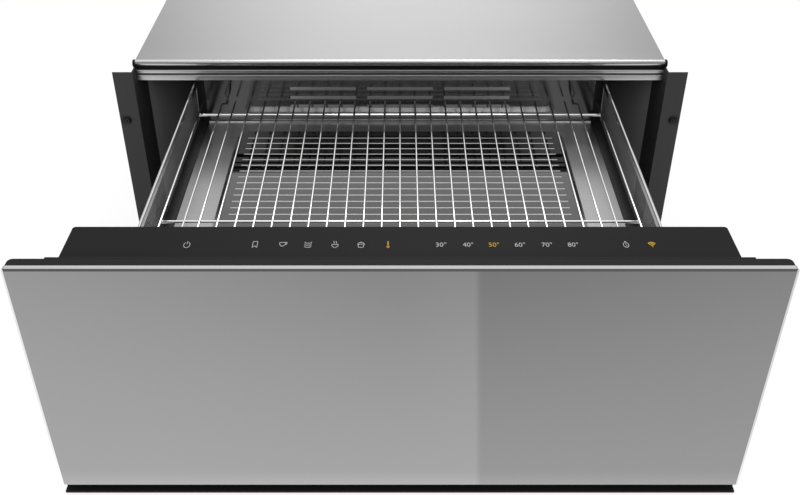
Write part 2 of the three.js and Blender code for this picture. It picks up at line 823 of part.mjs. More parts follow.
// Black moulding between the steel and the side glass: hollow along the floor, hollow again
// up the rear corners, and joined across the front.
function glassGasket() {
  const inner = trayFloorHalf + seat;
  const outer = sideGlassInner - seat;
  const bottom = trayFloor - gasketFoot;
  const radius = gasketFillet;
  const rear = wallFace + backWallSheet;
  const along = alongY([
    [inner, bottom], [outer, bottom], [outer, trayFloor + radius],
    ...arc([inner, trayFloor + radius], radius, -gasketTip, -90, 8),
  ].reverse(), [trayFront, rear]);
  const upright = alongZ([
    [inner, rear], ...arc([inner, wallFace - radius], radius, 90, gasketTip, 8),
    [outer, wallFace - radius], [outer, rear],
  ].reverse(), [bottom, backWallTop]);
  const railClear = block([railX - railWidth / 2 - seat, outer + 1],
    [wallFace - radius - 1, rear + 1], [railTop - railHeight - seat, backWallTop + 1]);
  const side = along.add(upright).subtract(railClear);
  const bar = block([-outer, outer],
    [trayFront - seat - gasketFrontBar, trayFront - seat], [bottom, trayFloor + radius]);
  const link = block([inner, outer], [trayFront - seat - 1, trayFront + 1],
    [bottom, trayFloor - 1]);
  return side.add(mirrored(side)).add(bar).add(link).add(mirrored(link));
}

// Pane that stands on the chassis side, outside the gasket.
function sideGlass() {
  return block([sideGlassInner, sideGlassOuter],
    [controlRear + seat, wallFace + backWallSheet],
    [glassTop - chassisSideDrop + seat, railTop - railRoof - seat]);
}

// Louvred back wall: pressed hoods with their mouths down, and two studs for the rack.
function backWall() {
  const half = trayFloorHalf;
  const y = [wallFace, wallFace + backWallSheet];
  let wall = block([-half, half], y, [trayFloor - traySheet, backWallTop]);
  for (let group = 0; group < louvreGroups; group += 1) {
    const x = (group - (louvreGroups - 1) / 2) * louvreGroupPitch;
    for (let row = 0; row < louvreRows; row += 1) {
      const top = glassTop - louvreTopDrop + louvreHeight / 2 - row * louvrePitch;
      const reach = [x - louvreWidth / 2, x + louvreWidth / 2];
      const slot = block(reach, [y[0] - 1, y[1] + 1],
        [top - louvreHeight, top - louvreHeight + louvreSlit]);
      wall = wall.subtract(slot).add(louvreHood(reach, top));
    }
  }
  const stud = rod('y', [wallFace - rackRearGap + 1, wallFace + backWallSheet / 2],
    [hookWireX - hookJog[0][0], rackLevel + hookJog[0][2] - wireRadius - seat - studRadius],
    studRadius, 10);
  return wall.add(stud).add(mirrored(stud));
}

// A hood that leans out of the wall and leaves its underside open.
function louvreHood(reach, top) {
  const face = wallFace;
  const inside = [
    [face + backWallSheet, top], [face, top], [face - louvreDepth, top - louvreHeight],
  ];
  return alongX(sheet(inside, louvreSheet), reach);
}

// Bright rail clasped over the side glass's edge, with a rounded top.
function sideRail() {
  const r = railWidth / 2;
  const outline = [
    [railX - r, railTop - railHeight], [railX + r, railTop - railHeight],
    ...arc([railX, railTop - r], r, 0, 180, 8),
  ];
  const y = [controlRear + seat, wallFace + backWallSheet];
  const slot = block([sideGlassInner - seat, sideGlassOuter + seat], [y[0] - 1, y[1] + 1],
    [railTop - railHeight - 1, railTop - railRoof]);
  return alongY(outline, y).subtract(slot);
}

const glassPlateY = [trayFront + baseGlassFrontGap, wallFace - baseGlassRearGap];

// Raised steel border round the base glass, with an inner ledge that the glass lies on.
function plateBezel() {
  const bottom = trayFloor + seat;
  const top = baseGlassTop - bezelLip;
  const halfX = baseGlassHalf + seat;
  const y = [glassPlateY[0] - seat, glassPlateY[1] + seat];
  const rim = 0.8; // flat top of the border
  const xs = [halfX + rim, halfX + bezelWidth];
  const across = alongX([
    [y[0] - bezelWidth, bottom], [y[1] + bezelWidth, bottom], [y[1] + rim, top], [y[0] - rim, top],
  ], [-xs[1], xs[1]]);
  const along = alongY([
    [-xs[1], bottom], [xs[1], bottom], [xs[0], top], [-xs[0], top],
  ], [y[0] - bezelWidth, y[1] + bezelWidth]);
  const ledgeTop = baseGlassTop - baseGlassSheet - seat;
  const pocket = alongZ(roundedPlan([-halfX, halfX], y, baseGlassCorner), [ledgeTop, top + 1]);
  const rounded = alongZ(roundedPlan([-xs[1], xs[1]], [y[0] - bezelWidth, y[1] + bezelWidth],
    baseGlassCorner + bezelWidth), [bottom, top]);
  const opening = block([-halfX + bezelLedge, halfX - bezelLedge],
    [y[0] + bezelLedge, y[1] - bezelLedge], [bottom - 1, top + 1]);
  return across.intersect(along).intersect(rounded).subtract(pocket).subtract(opening);
}

function baseGlass() {
  return alongZ(roundedPlan([-baseGlassHalf, baseGlassHalf], glassPlateY, baseGlassCorner),
    [baseGlassTop - baseGlassSheet, baseGlassTop]);
}

const trayUnder = trayFloor - traySheet;

function heatingMat() {
  const half = baseGlassHalf - matInset;
  return block([-half, half], [glassPlateY[0] + matInset, glassPlateY[1] - matInset],
    [trayUnder - seat - matSheet, trayUnder - seat]);
}

function insulationPad() {
  const half = trayFloorHalf - padMargin;
  const top = trayUnder - seat - matSheet - seat;
  return block([-half, half], [trayFront + padMargin, wallFace - padMargin], [top - padHeight, top]);
}

// ------------------------------------------------------------------ drawer chassis

const chassisY = [doorBack + seat, chassisBack];

function chassisBottom() {
  const half = chassisSide - chassisSheet - seat;
  return block([-half, half], chassisY, [chassisFloor, chassisFloor + chassisSheet]);
}

// Side sheet: a tab in front reaches up to the control strip, one behind closes the fan box.
function chassisSidePanel() {
  const [front, back] = chassisY;
  const low = glassTop - chassisSideDrop;
  const high = glassTop - chassisTabDrop;
  const tab = front + chassisTabLength;
  const box = wallFace + backWallSheet + seat;
  const roof = backWallTop - 1;
  return alongX([
    [front, chassisFloor], [back, chassisFloor], [back, roof], [box, roof], [box, low],
    [tab + chassisTabSlope, low], [tab, high], [front, high],
  ], [chassisSide - chassisSheet, chassisSide]);
}

// Rear sheet bent forward over the fan compartment.
function chassisRear() {
  const half = chassisSide - chassisSheet - seat;
  const roof = backWallTop - 1;
  const path = [
    [chassisBack, chassisFloor + chassisSheet + seat], [chassisBack, roof],
    [wallFace + backWallSheet + seat, roof],
  ];
  return alongX(sheet(path, chassisSheet), [-half, half]);
}

// ------------------------------------------------------------------ fan and heater

// Cross-flow rotor: a ring of blades between discs, on one shaft.
function fanRotor() {
  const half = rotorHalf;
  const at = [fanAxisY, fanHeight];
  let rotor = rod('x', [-half - shaftReach, half + shaftReach], at, shaftRadius, 12);
  for (const x of [-half, -half / 3, half / 3, half - rotorDisc]) {
    rotor = rotor.add(rod('x', [x, x + rotorDisc], at, rotorRadius, 24));
  }
  for (let i = 0; i < rotorBlades; i += 1) {
    const angle = (2 * Math.PI * i) / rotorBlades;
    const blade = new THREE.BoxGeometry(2 * half - rotorDisc, bladeChord, bladeSheet);
    blade.rotateX(Math.PI / 5).translate(0, rotorRadius - bladeChord / 2, 0);
    blade.rotateX(angle).translate(0, fanAxisY, fanHeight);
    rotor = rotor.add(solid(blade));
  }
  return rotor;
}

// Half shell behind the rotor, open towards the louvres.
function fanScroll() {
  const half = rotorHalf + motorGap / 2;
  const path = arc([fanAxisY, fanHeight], scrollRadius, -scrollSweep, scrollSweep, 14);
  return alongX(sheet(path, -scrollSheet).reverse(), [-half, half]);
}

function fanMotor() {
  const from = rotorHalf + motorGap;
  const at = [fanAxisY, fanHeight];
  return rod('x', [from, from + motorLength], at, motorRadius, 24)
    .subtract(rod('x', [from - 1, from + shaftReach], at, motorBore, 14));
}

// Hairpin heating rod under the rotor.
function heaterRod() {
  const half = rotorHalf - heaterInset;
  const level = fanHeight - heaterDrop;
  const near = fanAxisY - heaterBend;
  const far = fanAxisY + heaterBend;
  const reach = half + heaterBend * 1.333;
  const corners = [
    [-half, near], [half, near], [reach, near], [reach, far], [half, far], [-half, far],
  ];
  const [start, turn, pullNear, pullFar, exit, end] = corners
    .map(([x, y]) => new THREE.Vector3(x, y, level));
  const line = new THREE.CurvePath();
  line.add(new THREE.LineCurve3(start, turn));
  line.add(new THREE.CubicBezierCurve3(turn, pullNear, pullFar, exit));
  line.add(new THREE.LineCurve3(exit, end));
  return solid(new THREE.ExtrudeGeometry(disc(heaterRadius, heaterFacets), {
    steps: 48, extrudePath: line,
  }));
}

// ------------------------------------------------------------------ wire rack

const rackEnds = [trayFront + traySheet + rackFront, wallFace - rackRearGap];

// Long wires welded on two cross bars. The hook wires stand on the tray in front and rise
// along the back wall behind; the rest end straight.
function wireRack() {
  const crossLevel = rackLevel - wireRadius - crossRadius + weld;
  const crossHalf = edgeWireX + crossOverhang;
  const crossings = [rackEnds[0] + frontCrossInset, rackEnds[1] - rearCrossInset];
  let rack = rod('x', [-crossHalf, crossHalf], [crossings[0], crossLevel], crossRadius, 10);
  rack = rack.add(rod('x', [-crossHalf, crossHalf], [crossings[1], crossLevel], crossRadius, 10));
  for (let i = -wirePairs; i <= wirePairs; i += 1) {
    rack = rack.add(rod('y', rackEnds, [i * wirePitch, rackLevel], wireRadius, 8));
  }
  const edge = rod('y', rackEnds, [edgeWireX, rackLevel], wireRadius, 8);
  const hook = hookWire();
  return rack.add(edge).add(mirrored(edge)).add(hook).add(mirrored(hook));
}

function hookWire() {
  const [front, back] = rackEnds;
  const foot = trayFloor + seat;
  const bend = 3;
  const steps = 90;
  const points = [
    [hookWireX, front, foot], [hookWireX, front, rackLevel - bend],
    [hookWireX, front + bend, rackLevel], [hookWireX, back - 4, rackLevel],
    ...hookJog.map(([inwards, rear, up]) => [hookWireX - inwards, back - 4 + rear, rackLevel + up]),
  ];
  return wire(points, wireRadius, 8, steps);
}

// ------------------------------------------------------------------ assembly

add('top_cover', topCover(), coverSteel);
add('base_plate', basePlate(), zinc);
addPair('side_panel', sidePanel(), greyPaint);
add('rear_panel', rearPanel(), zinc);
add('front_cross_member', crossMember(), trimSteel);
add('front_seal', frontSeal(), rubber);
addPair('hem_cap', hemCap(), rubber);
addPair('flange', flange(), greyPaint);
addPair('flange_screw_upper', flangeScrew(screwHeights[0]), blackPaint);
addPair('flange_screw_lower', flangeScrew(screwHeights[1]), blackPaint);
addPair('slide_carrier', slideCarrier(), zinc);
add('front_bearer', bearer(0), rubber);
add('rear_bearer', bearer(housingBack - rearBearerInset - bearerDepth / 2), rubber);

const slides = slideMembers();
addPair('outer_slide', slides.outer, zinc);
addPair('middle_slide', slides.middle, zinc);
addPair('inner_slide', slides.inner, zinc);

addPair('opener_body', openerBody(), blackPlastic);
addPair('opener_plunger', openerPlunger(), paleNylon);
add('electronics_box', electronicsBox(), blackPlastic);
add('mains_inlet', mainsInlet(), blackPlastic);

add('front_glass', frontGlass(), mirrorGlass);
add('door_frame', doorFrame(), blackPlastic);
add('door_inner_panel', doorInnerPanel(), zinc);
add('door_ledge', doorLedge(), blackPlastic);
addPair('door_buffer', doorBuffer(), rubber);
add('control_glass', controlGlass(), stripGlass);
add('control_housing', controlHousing(), blackPlastic);
add('control_board', controlBoard(), greenBoard);

add('tray', tray(), traySteel);
add('glass_gasket', glassGasket(), rubber);
addPair('side_glass', sideGlass(), clearGlass);
add('back_wall', backWall(), traySteel);
addPair('side_rail', sideRail(), chrome);
add('plate_bezel', plateBezel(), traySteel);
add('base_glass', baseGlass(), blackGlass);
add('heating_mat', heatingMat(), silicone);
add('insulation_pad', insulationPad(), mineralWool);
add('chassis_bottom', chassisBottom(), zinc);
addPair('chassis_side', chassisSidePanel(), zinc);
add('chassis_rear', chassisRear(), zinc);

add('fan_scroll', fanScroll(), zinc);
add('fan_motor', fanMotor(), blackPlastic);
add('fan_rotor', fanRotor(), blackPlastic);
add('heater_rod', heaterRod(), trimSteel);

add('wire_rack', wireRack(), chrome);

export default drawing;
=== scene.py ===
# %% [markdown]
# # A built-in warming drawer, standing open
#
# The drawer was already built as solids: every panel, slide, wire and screw is a closed mesh in
# one shared frame (metres, +X right, +Y back into the cabinet, +Z up). This lesson gives those
# solids their looks. We load them, set up the camera and a pale studio, write one small helper
# for shader maths, and then go through the drawer finish by finish. Where the real thing has a
# form that flat facets can't show, such as a rolled hem or a deep-drawn tray, we work the
# surface out with numpy and let it stand in for the solid.

# %% Loading the solids
import math

import bmesh
import bpy
import numpy as np
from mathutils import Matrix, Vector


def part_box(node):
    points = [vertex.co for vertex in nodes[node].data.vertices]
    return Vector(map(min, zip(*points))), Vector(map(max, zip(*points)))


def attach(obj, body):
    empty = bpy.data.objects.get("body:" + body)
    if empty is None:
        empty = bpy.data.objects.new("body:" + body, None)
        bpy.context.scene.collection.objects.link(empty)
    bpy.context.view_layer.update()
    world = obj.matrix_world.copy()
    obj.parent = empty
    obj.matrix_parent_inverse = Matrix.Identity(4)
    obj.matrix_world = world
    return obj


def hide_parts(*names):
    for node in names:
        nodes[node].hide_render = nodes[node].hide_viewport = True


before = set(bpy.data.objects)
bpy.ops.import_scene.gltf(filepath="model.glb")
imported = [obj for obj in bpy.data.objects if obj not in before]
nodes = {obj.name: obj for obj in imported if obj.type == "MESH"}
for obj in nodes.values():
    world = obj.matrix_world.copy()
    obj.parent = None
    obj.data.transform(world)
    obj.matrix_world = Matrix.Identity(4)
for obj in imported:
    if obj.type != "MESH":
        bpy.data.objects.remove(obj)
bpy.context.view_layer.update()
MM = 0.001


def limits(node):
    """The six faces of a solid's box, in millimetres: x0, x1, y0, y1, z0, z1."""
    low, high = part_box(node)
    return [round(v / MM, 3) for pair in zip(low, high) for v in pair]


# %% [markdown]
# ## The camera
#
# The picture is a one-point perspective from the middle of the drawer, 35 degrees down. The
# camera's place was worked out from the front's edges, so its numbers are written here as they
# are. A lens of 44.25 mm on a 36 mm sensor is the same as a focal length of 983 pixels across
# an image that is 800 pixels wide.

# %% Camera
LOOKS_DOWN = 35.17
camera_data = bpy.data.cameras.new("camera")
camera_data.lens = 44.25
camera_data.sensor_width = 36
camera_data.clip_start = 0.01
camera = bpy.data.objects.new("camera", camera_data)
camera.location = (0, -1.1858, 0.8602)
camera.rotation_euler = (math.radians(90 - LOOKS_DOWN), 0, 0)
bpy.context.scene.collection.objects.link(camera)
bpy.context.scene.camera = camera
bpy.context.scene.view_settings.view_transform = "Standard"
print("camera looks down", LOOKS_DOWN, "degrees")

# %% [markdown]
# ## Shader maths as Python expressions
#
# Patterns are easier to read as sums than as a web of boxes. The class below wraps one output
# of a shader node. Writing `1 - mask * 0.5` then adds the Math nodes by itself. Everything else,
# such as a noise texture or a bump, comes from one method, `node`, which takes the node's type,
# its settings and what goes into its sockets.


# %% Values and paints
class Value:
    """One number that changes over a surface; Python's operators add the Math nodes."""

    def __init__(self, paint, socket):
        self.paint = paint
        self.socket = socket

    def math(self, operation, *others):
        node = self.paint.node("ShaderNodeMath", {"operation": operation}, [self, *others])
        return Value(self.paint, node.outputs[0])

    def __add__(self, other):
        return self.math("ADD", other)

    def __mul__(self, other):
        return self.math("MULTIPLY", other)

    def __sub__(self, other):
        return self.math("SUBTRACT", other)

    def __rsub__(self, other):
        return self.math("MULTIPLY", -1).math("ADD", other)

    def __abs__(self):
        return self.math("ABSOLUTE")

    __radd__ = __add__
    __rmul__ = __mul__

    def above(self, edge, soft):
        """0 below edge, 1 above it, with a ramp that is soft wide."""
        ramp = (self - (edge - soft / 2)) * (1 / soft)
        return Value(self.paint, self.paint.node("ShaderNodeClamp", {}, [ramp]).outputs[0])

    def between(self, low, high, soft):
        """1 from low to high, 0 outside, with the same ramps."""
        return self.above(low, soft) * (1 - self.above(high, soft))


class Shading:
    """A tree of shader nodes, with one way to add a node and one to fill a socket."""

    def __init__(self, owner):
        owner.use_nodes = True
        self.tree = owner.node_tree

    def plug(self, socket, value):
        if isinstance(value, Value):
            self.tree.links.new(value.socket, socket)
        elif isinstance(value, bpy.types.NodeSocket):
            self.tree.links.new(value, socket)
        elif isinstance(value, (tuple, list)) and len(socket.default_value) == 4:
            socket.default_value = (*value[:3], 1)
        else:
            socket.default_value = value

    def node(self, kind, settings, sockets):
        """Any shader node: its settings come first, then values or links for its sockets."""
        node = self.tree.nodes.new(kind)
        for key, value in settings.items():
            setattr(node, key, value)
        pairs = sockets.items() if isinstance(sockets, dict) else enumerate(sockets)
        for key, value in pairs:
            self.plug(node.inputs[key], value)
        return node

    def read(self, kind, output):
        """One output of a node that needs nothing plugged in, as a value."""
        return Value(self, self.node(kind, {}, []).outputs[output])

    def split(self, vector):
        """The three numbers of a vector, as values."""
        parts = self.node("ShaderNodeSeparateXYZ", {}, [vector])
        return [Value(self, output) for output in parts.outputs]

    def mix(self, mask, first, second):
        """A colour between two colours; it goes through a Mix node so that it stays a colour."""
        node = self.node("ShaderNodeMix", {"data_type": "RGBA"}, {0: mask, 6: first, 7: second})
        return node.outputs[2]


class Paint(Shading):
    """A material with its Principled shader; whole-surface numbers are set on its sockets."""

    def __init__(self, name, color, roughness, metallic=0.0, **sockets):
        self.material = bpy.data.materials.new(name)
        super().__init__(self.material)
        self.shader = self.tree.nodes["Principled BSDF"]
        self.set("Base Color", color)
        self.set("Roughness", roughness)
        self.set("Metallic", metallic)
        for socket, value in sockets.items():
            self.set(socket.replace("_", " "), value)

    def set(self, socket, value):
        self.plug(self.shader.inputs[socket], value)
        return self

    def place(self, scale=(1, 1, 1)):
        """Where the point is on the object, in metres, stretched by scale."""
        source = self.node("ShaderNodeTexCoord", {}, []).outputs["Object"]
        mapping = {"Vector": source, "Scale": scale}
        return self.node("ShaderNodeMapping", {}, mapping).outputs[0]

    def axes(self):
        """The point's x, y and z in millimetres, as three values."""
        return self.split(self.place((1000, 1000, 1000)))

    def noise(self, scale, stretch=(1, 1, 1), detail=3.0, rough=0.5):
        """Soft noise with scale blotches to the metre, squeezed along each axis by stretch."""
        sockets = {"Vector": self.place(stretch), "Scale": scale, "Detail": detail}
        node = self.node("ShaderNodeTexNoise", {}, {**sockets, "Roughness": rough})
        return Value(self, node.outputs[0])

    def bump(self, height, distance, strength=1.0):
        """Tilts the surface's light as if height, times distance in metres, rose from it."""
        sockets = {"Strength": strength, "Distance": distance, "Height": height}
        self.set("Normal", self.node("ShaderNodeBump", {}, sockets).outputs[0])
        return self


def grey(level):
    """A neutral colour given as the screen level it should show, 0 to 255."""
    share = level / 255
    linear = share / 12.92 if share <= 0.04045 else ((share + 0.055) / 1.055) ** 2.4
    return (linear, linear, linear)


def dress(paint, *names):
    """Puts a paint on solids, by name; a star stands for left_ and right_."""
    for name in names:
        wanted = ["left_" + name[1:], "right_" + name[1:]] if name[0] == "*" else [name]
        for node in wanted:
            mesh = nodes[node].data
            mesh.materials.clear()
            mesh.materials.append(paint.material)
    print(paint.material.name, "on", ", ".join(names))


print("grey(128) is", round(grey(128)[0], 3), "in linear light")

# %% [markdown]
# ## A pale studio
#
# The object stands on a pale floor under an even white sky. The sky lights everything at about
# the level at which a colour shows as it is written. What the camera sees behind the object is
# plain white. Polished metal is another matter: it shows nothing but its surroundings, and under
# an evenly white sky it looks like white paint. Photographers therefore keep the room dim on
# the camera's side and bright above and behind. So the sky has two looks. Rays that reach it
# from a mirror find a backdrop that fades to the sides, a dim front with a bright card on either
# side of the camera, and light overhead. The floor has two looks as well: mirrors find it
# darker under the open drawer, and dimmer away from the object, most of all on the right, where
# the light's own edge falls. Two lamps do the rest: a broad softbox above and behind, which
# gives the floor its soft shadow, and a fill in front, which mirrors don't show.

# %% Sky
SKY_LIGHT = 0.80
DIM_FRONT = 0.26
DARK_FRONT = 0.12
CARD = 1.6
BACKDROP = 1.12
HIGH_BACK = 1.25
SIDE_FADE = 0.55
OVERHEAD = 1.2


def seen_rays(shading):
    """1 for rays from the camera, from a mirror or through glass, 0 for the ones that light."""
    seen = shading.read("ShaderNodeLightPath", "Is Camera Ray")
    seen = seen + shading.read("ShaderNodeLightPath", "Is Transmission Ray")
    return seen.above(0.5, 0.1), shading.read("ShaderNodeLightPath", "Is Glossy Ray")


def mirrored_sky(x, y, z):
    """What a mirror finds in the direction (x, y, z). Behind: the backdrop less 8.5 x^2, which
    counts for 0.55 at most, and from 28 degrees upwards the brighter high back. In front: dark at
    the horizon and dim above it, with an upright card on either side of the camera, and 1 from
    48 degrees upwards. Overhead it is bright all round."""
    low = 1 - z.above(0.47, 0.06)
    fade = (x * x * 8.5).math("MINIMUM", SIDE_FADE)
    lower = BACKDROP - HIGH_BACK - fade - (z - 0.36).math("MAXIMUM", 0.0) * 2.4
    backdrop = low * lower + HIGH_BACK
    card = z.between(0.28, 0.66, 0.04) * abs(x).between(0.14, 0.19, 0.03)
    front = z.above(0.05, 0.2) * (DIM_FRONT - DARK_FRONT) + DARK_FRONT
    front = front + card * (CARD - DIM_FRONT) + z.above(0.74, 0.1) * (1 - DIM_FRONT)
    behind = y.above(-0.05, 0.5)
    level = behind * backdrop + (1 - behind) * front
    return level.math("MAXIMUM", z.above(0.86, 0.16) * OVERHEAD)


def sky():
    """The world's strength: the sky light for rays that light the object, 1 for the camera."""
    world = bpy.data.worlds.new("sky")
    shading = Shading(world)
    direction = shading.node("ShaderNodeTexCoord", {}, []).outputs["Generated"]
    mirrored = mirrored_sky(*shading.split(direction))
    seen, glossy = seen_rays(shading)
    strength = (1 - seen - glossy) * SKY_LIGHT + seen + glossy * mirrored
    background = shading.tree.nodes["Background"]
    shading.plug(background.inputs["Color"], grey(255))
    shading.plug(background.inputs["Strength"], strength)
    bpy.context.scene.world = world


sky()
print("sky: light", SKY_LIGHT, "and mirrored backdrop", BACKDROP)

# %% Floor
PANE_FOOT = -0.45
MIRRORED_DEPTH = 0.42
NEAR_LEVEL = 0.87
FAR_DROP = 0.34
LIGHT_EDGE = 0.088
EDGE_SPREAD = 0.027
UNDER_DRAWER = 0.5


def mirrored_floor(x, y):
    """What a mirror finds on the floor at (x, y), in metres: painted light and shade. In front of
    the pane it falls from 0.87 to 0.53 over the mirrored depth, and by 17 to 27 per cent more to
    the right of the light's edge, which runs forward from x = 0.088 to 0.115. The first
    centimetres are brighter by up to 0.2, and so are the sides. Under the open drawer it is half
    as bright: a painted shadow."""
    away = (PANE_FOOT - y) * (1 / MIRRORED_DEPTH)
    away = away.math("MAXIMUM", 0.0).math("MINIMUM", 1.4)
    right = (x - away * EDGE_SPREAD - LIGHT_EDGE).above(0, 0.006)
    near = (1 - away * 16).math("MAXIMUM", 0.0) * 0.2
    dim = (NEAR_LEVEL - away * FAR_DROP + near) * (1 - right * (away * 0.10 + 0.17))
    dim = dim * (abs(x) * away * 0.5 + 1)
    in_front = 1 - y.above(PANE_FOOT + 0.02, 0.01)
    # Painted shadow of the open drawer, which only mirrors find on the floor.
    under = (1 - in_front) * (1 - abs(x).above(0.36, 0.1)) * (1 - y.above(0.1, 0.3))
    return 1 - in_front - under * UNDER_DRAWER + in_front * dim


def floor_paint():
    """Four fifths white for the camera, so that the object's shadow still shows."""
    paint = Paint("studio_floor", grey(246), 0.9, Specular_IOR_Level=0.1)
    paint.set("Base Color", paint.mix(paint.noise(3.0), grey(245), grey(248)))
    x, y = [value * MM for value in paint.axes()[:2]]
    seen, glossy = seen_rays(paint)
    level = seen + glossy * mirrored_floor(x, y)
    glow = paint.node("ShaderNodeEmission", {}, {"Color": level})
    share = seen * 0.8 + glossy
    shaders = [share, paint.shader.outputs[0], glow.outputs[0]]
    both = paint.node("ShaderNodeMixShader", {}, shaders)
    paint.plug(paint.tree.nodes["Material Output"].inputs["Surface"], both.outputs[0])
    return paint


def floor():
    half = 6.0
    mesh = bpy.data.meshes.new("studio_floor")
    corners = [(-half, -half, 0), (half, -half, 0), (half, half, 0), (-half, half, 0)]
    mesh.from_pydata(corners, [], [(0, 1, 2, 3)])
    mesh.materials.append(floor_paint().material)
    plane = bpy.data.objects.new("studio_floor", mesh)
    bpy.context.scene.collection.objects.link(plane)


floor()
print("floor: mirrored from y =", PANE_FOOT, "forward")


# %% Lamps
def lamp(name, place, aim, size, watts):
    """An area lamp at a place, turned so that it looks at its aim."""
    data = bpy.data.lights.new(name, "AREA")
    data.shape = "RECTANGLE"
    data.size, data.size_y = size
    data.energy = watts
    light = bpy.data.objects.new(name, data)
    light.location = place
    direction = np.array(aim, float) - np.array(place, float)
    pitch = math.acos(-direction[2] / np.linalg.norm(direction))
    turned = math.atan2(direction[1], direction[0]) - math.pi / 2
    light.rotation_euler = (pitch, 0, turned)
    bpy.context.scene.collection.objects.link(light)
    return light


LAMP_SIZE = (1.2, 1.0)
softbox = lamp("overhead_softbox", (0.15, 0.9, 2.2), (0, 0, 0.2), LAMP_SIZE, 22)
fill = lamp("front_fill", (0, -2.5, 1.75), (0, 0.1, 0.2), LAMP_SIZE, 34)
fill.visible_glossy = False
print("lamps:", softbox.data.energy, "W above,", fill.data.energy, "W in front")

# %% [markdown]
# ## Surfaces from arrays
#
# Every piece that we shape ourselves is a stack of rings: a closed outline, repeated station by
# station, and joined ring to ring. An outline carried straight along an axis gives a folded
# sheet, one carried along a curve gives a wire, and one that shrinks from station to station
# gives a bevel. numpy moves whole outlines at once, so there is no loop over vertices.

# %% Outlines
def turn(centre, radius, start, end, steps):
    """An arc: centre plus radius times (cos, sin) of angles from start to end, in degrees."""
    angle = np.radians(np.linspace(start, end, steps))
    return np.array(centre) + radius * np.stack([np.cos(angle), np.sin(angle)], 1)


def rounded_box(low, high, radius, steps=7):
    """A rectangle from low to high whose four corners are quarter turns of the given radius."""
    (a0, b0), (a1, b1) = low, high
    centres = [(a1 - radius, b1 - radius), (a0 + radius, b1 - radius),
               (a0 + radius, b0 + radius), (a1 - radius, b0 + radius)]
    return np.concatenate([turn(c, radius, 90 * i, 90 * i + 90, steps)
                           for i, c in enumerate(centres)])


def soften(points, radius, steps=5):
    """Rounds every corner of an open path: each corner gives way to a curve that starts and ends
    radius away from it, (1-t)^2 before + 2t(1-t) corner + t^2 after."""
    points = np.array(points, float)
    before, corner, after = points[:-2], points[1:-1], points[2:]

    def towards(target):
        step = target - corner
        length = np.linalg.norm(step, axis=1, keepdims=True)
        return corner + step * np.minimum(radius / length, 0.5)

    t = np.linspace(0, 1, steps)[None, :, None]
    start, end = towards(before)[:, None], towards(after)[:, None]
    curve = (1 - t) ** 2 * start + 2 * t * (1 - t) * corner[:, None] + t ** 2 * end
    return np.concatenate([points[:1], curve.reshape(-1, points.shape[1]), points[-1:]])


def thicken(path, thickness):
    """A bent sheet's closed outline: the path, and back along the path moved sideways along its
    own normals by the thickness."""
    path = np.array(path, float)
    step = np.gradient(path, axis=0)
    normal = np.stack([-step[:, 1], step[:, 0]], 1) / np.linalg.norm(step, axis=1)[:, None]
    return np.concatenate([path, (path + normal * thickness)[::-1]])


print("a rounded box has", len(rounded_box((0, 0), (10, 10), 2)), "points")


# %% Rings into meshes
def stack(rings, looped=False):
    """Points and faces of a stack of rings; quads join ring to ring and plates close the ends."""
    rings = np.asarray(rings, float)
    stations, count = rings.shape[:2]
    index = np.arange(stations * count).reshape(stations, count)
    beside = np.roll(index, -1, axis=1)
    last = stations if looped else stations - 1
    above, beside_above = np.roll(index, -1, axis=0), np.roll(beside, -1, axis=0)
    quads = np.stack([index, beside, beside_above, above], -1)[:last].reshape(-1, 4).tolist()
    if not looped:
        quads += [index[0][::-1].tolist(), index[-1].tolist()]
    return rings.reshape(-1, 3), quads


def carry(outline, axis, stations):
    """An outline carried straight along an axis: it keeps its two numbers and gains a third."""
    outline = np.asarray(outline, float)
    others = [i for i in range(3) if i != axis]
    rings = np.zeros((len(stations), len(outline), 3))
    rings[:, :, others] = outline[None]
    rings[:, :, axis] = np.asarray(stations, float)[:, None]
    return stack(rings)


def tube(path, radius, sides=12):
    """A round bar along a path: at each point a circle stands square to the way ahead. Its two
    axes come from one fixed side direction, so the bar doesn't twist."""
    path = np.asarray(path, float)
    ahead = np.gradient(path, axis=0)
    ahead /= np.linalg.norm(ahead, axis=1, keepdims=True)
    side = np.array([1.0, 0, 0]) if abs(ahead[0, 0]) < 0.9 else np.array([0, 0, 1.0])
    first = np.cross(ahead, side)
    first /= np.linalg.norm(first, axis=1, keepdims=True)
    second = np.cross(ahead, first)
    angle = np.linspace(0, 2 * np.pi, sides, endpoint=False)
    circle = first[:, None] * np.cos(angle)[None, :, None]
    circle = circle + second[:, None] * np.sin(angle)[None, :, None]
    radius = np.broadcast_to(radius, (len(path),))
    return stack(path[:, None] + circle * radius[:, None, None])


def bar(start, end, radius, sides=12):
    """A straight round bar whose ends are eased by half its radius."""
    start, end = np.array(start, float), np.array(end, float)
    length = np.linalg.norm(end - start)
    ease = radius * 0.5
    along = np.array([0, ease * 0.3, ease, length - ease, length - ease * 0.3, length]) / length
    sizes = radius * np.array([0.55, 0.85, 1, 1, 0.85, 0.55])
    return tube(start + along[:, None] * (end - start), sizes, sides)


def mirror(shell):
    """The same shell on the other side: x changes sign and the faces turn round."""
    points, faces = shell
    return points * [-1, 1, 1], [face[::-1] for face in faces]


def merge(*shells):
    """Several shells in one mesh: each one's faces are counted on from the points before it."""
    offset = 0
    points, faces = [], []
    for shell_points, shell_faces in shells:
        points.append(shell_points)
        faces += [[i + offset for i in face] for face in shell_faces]
        offset += len(shell_points)
    return np.concatenate(points), faces


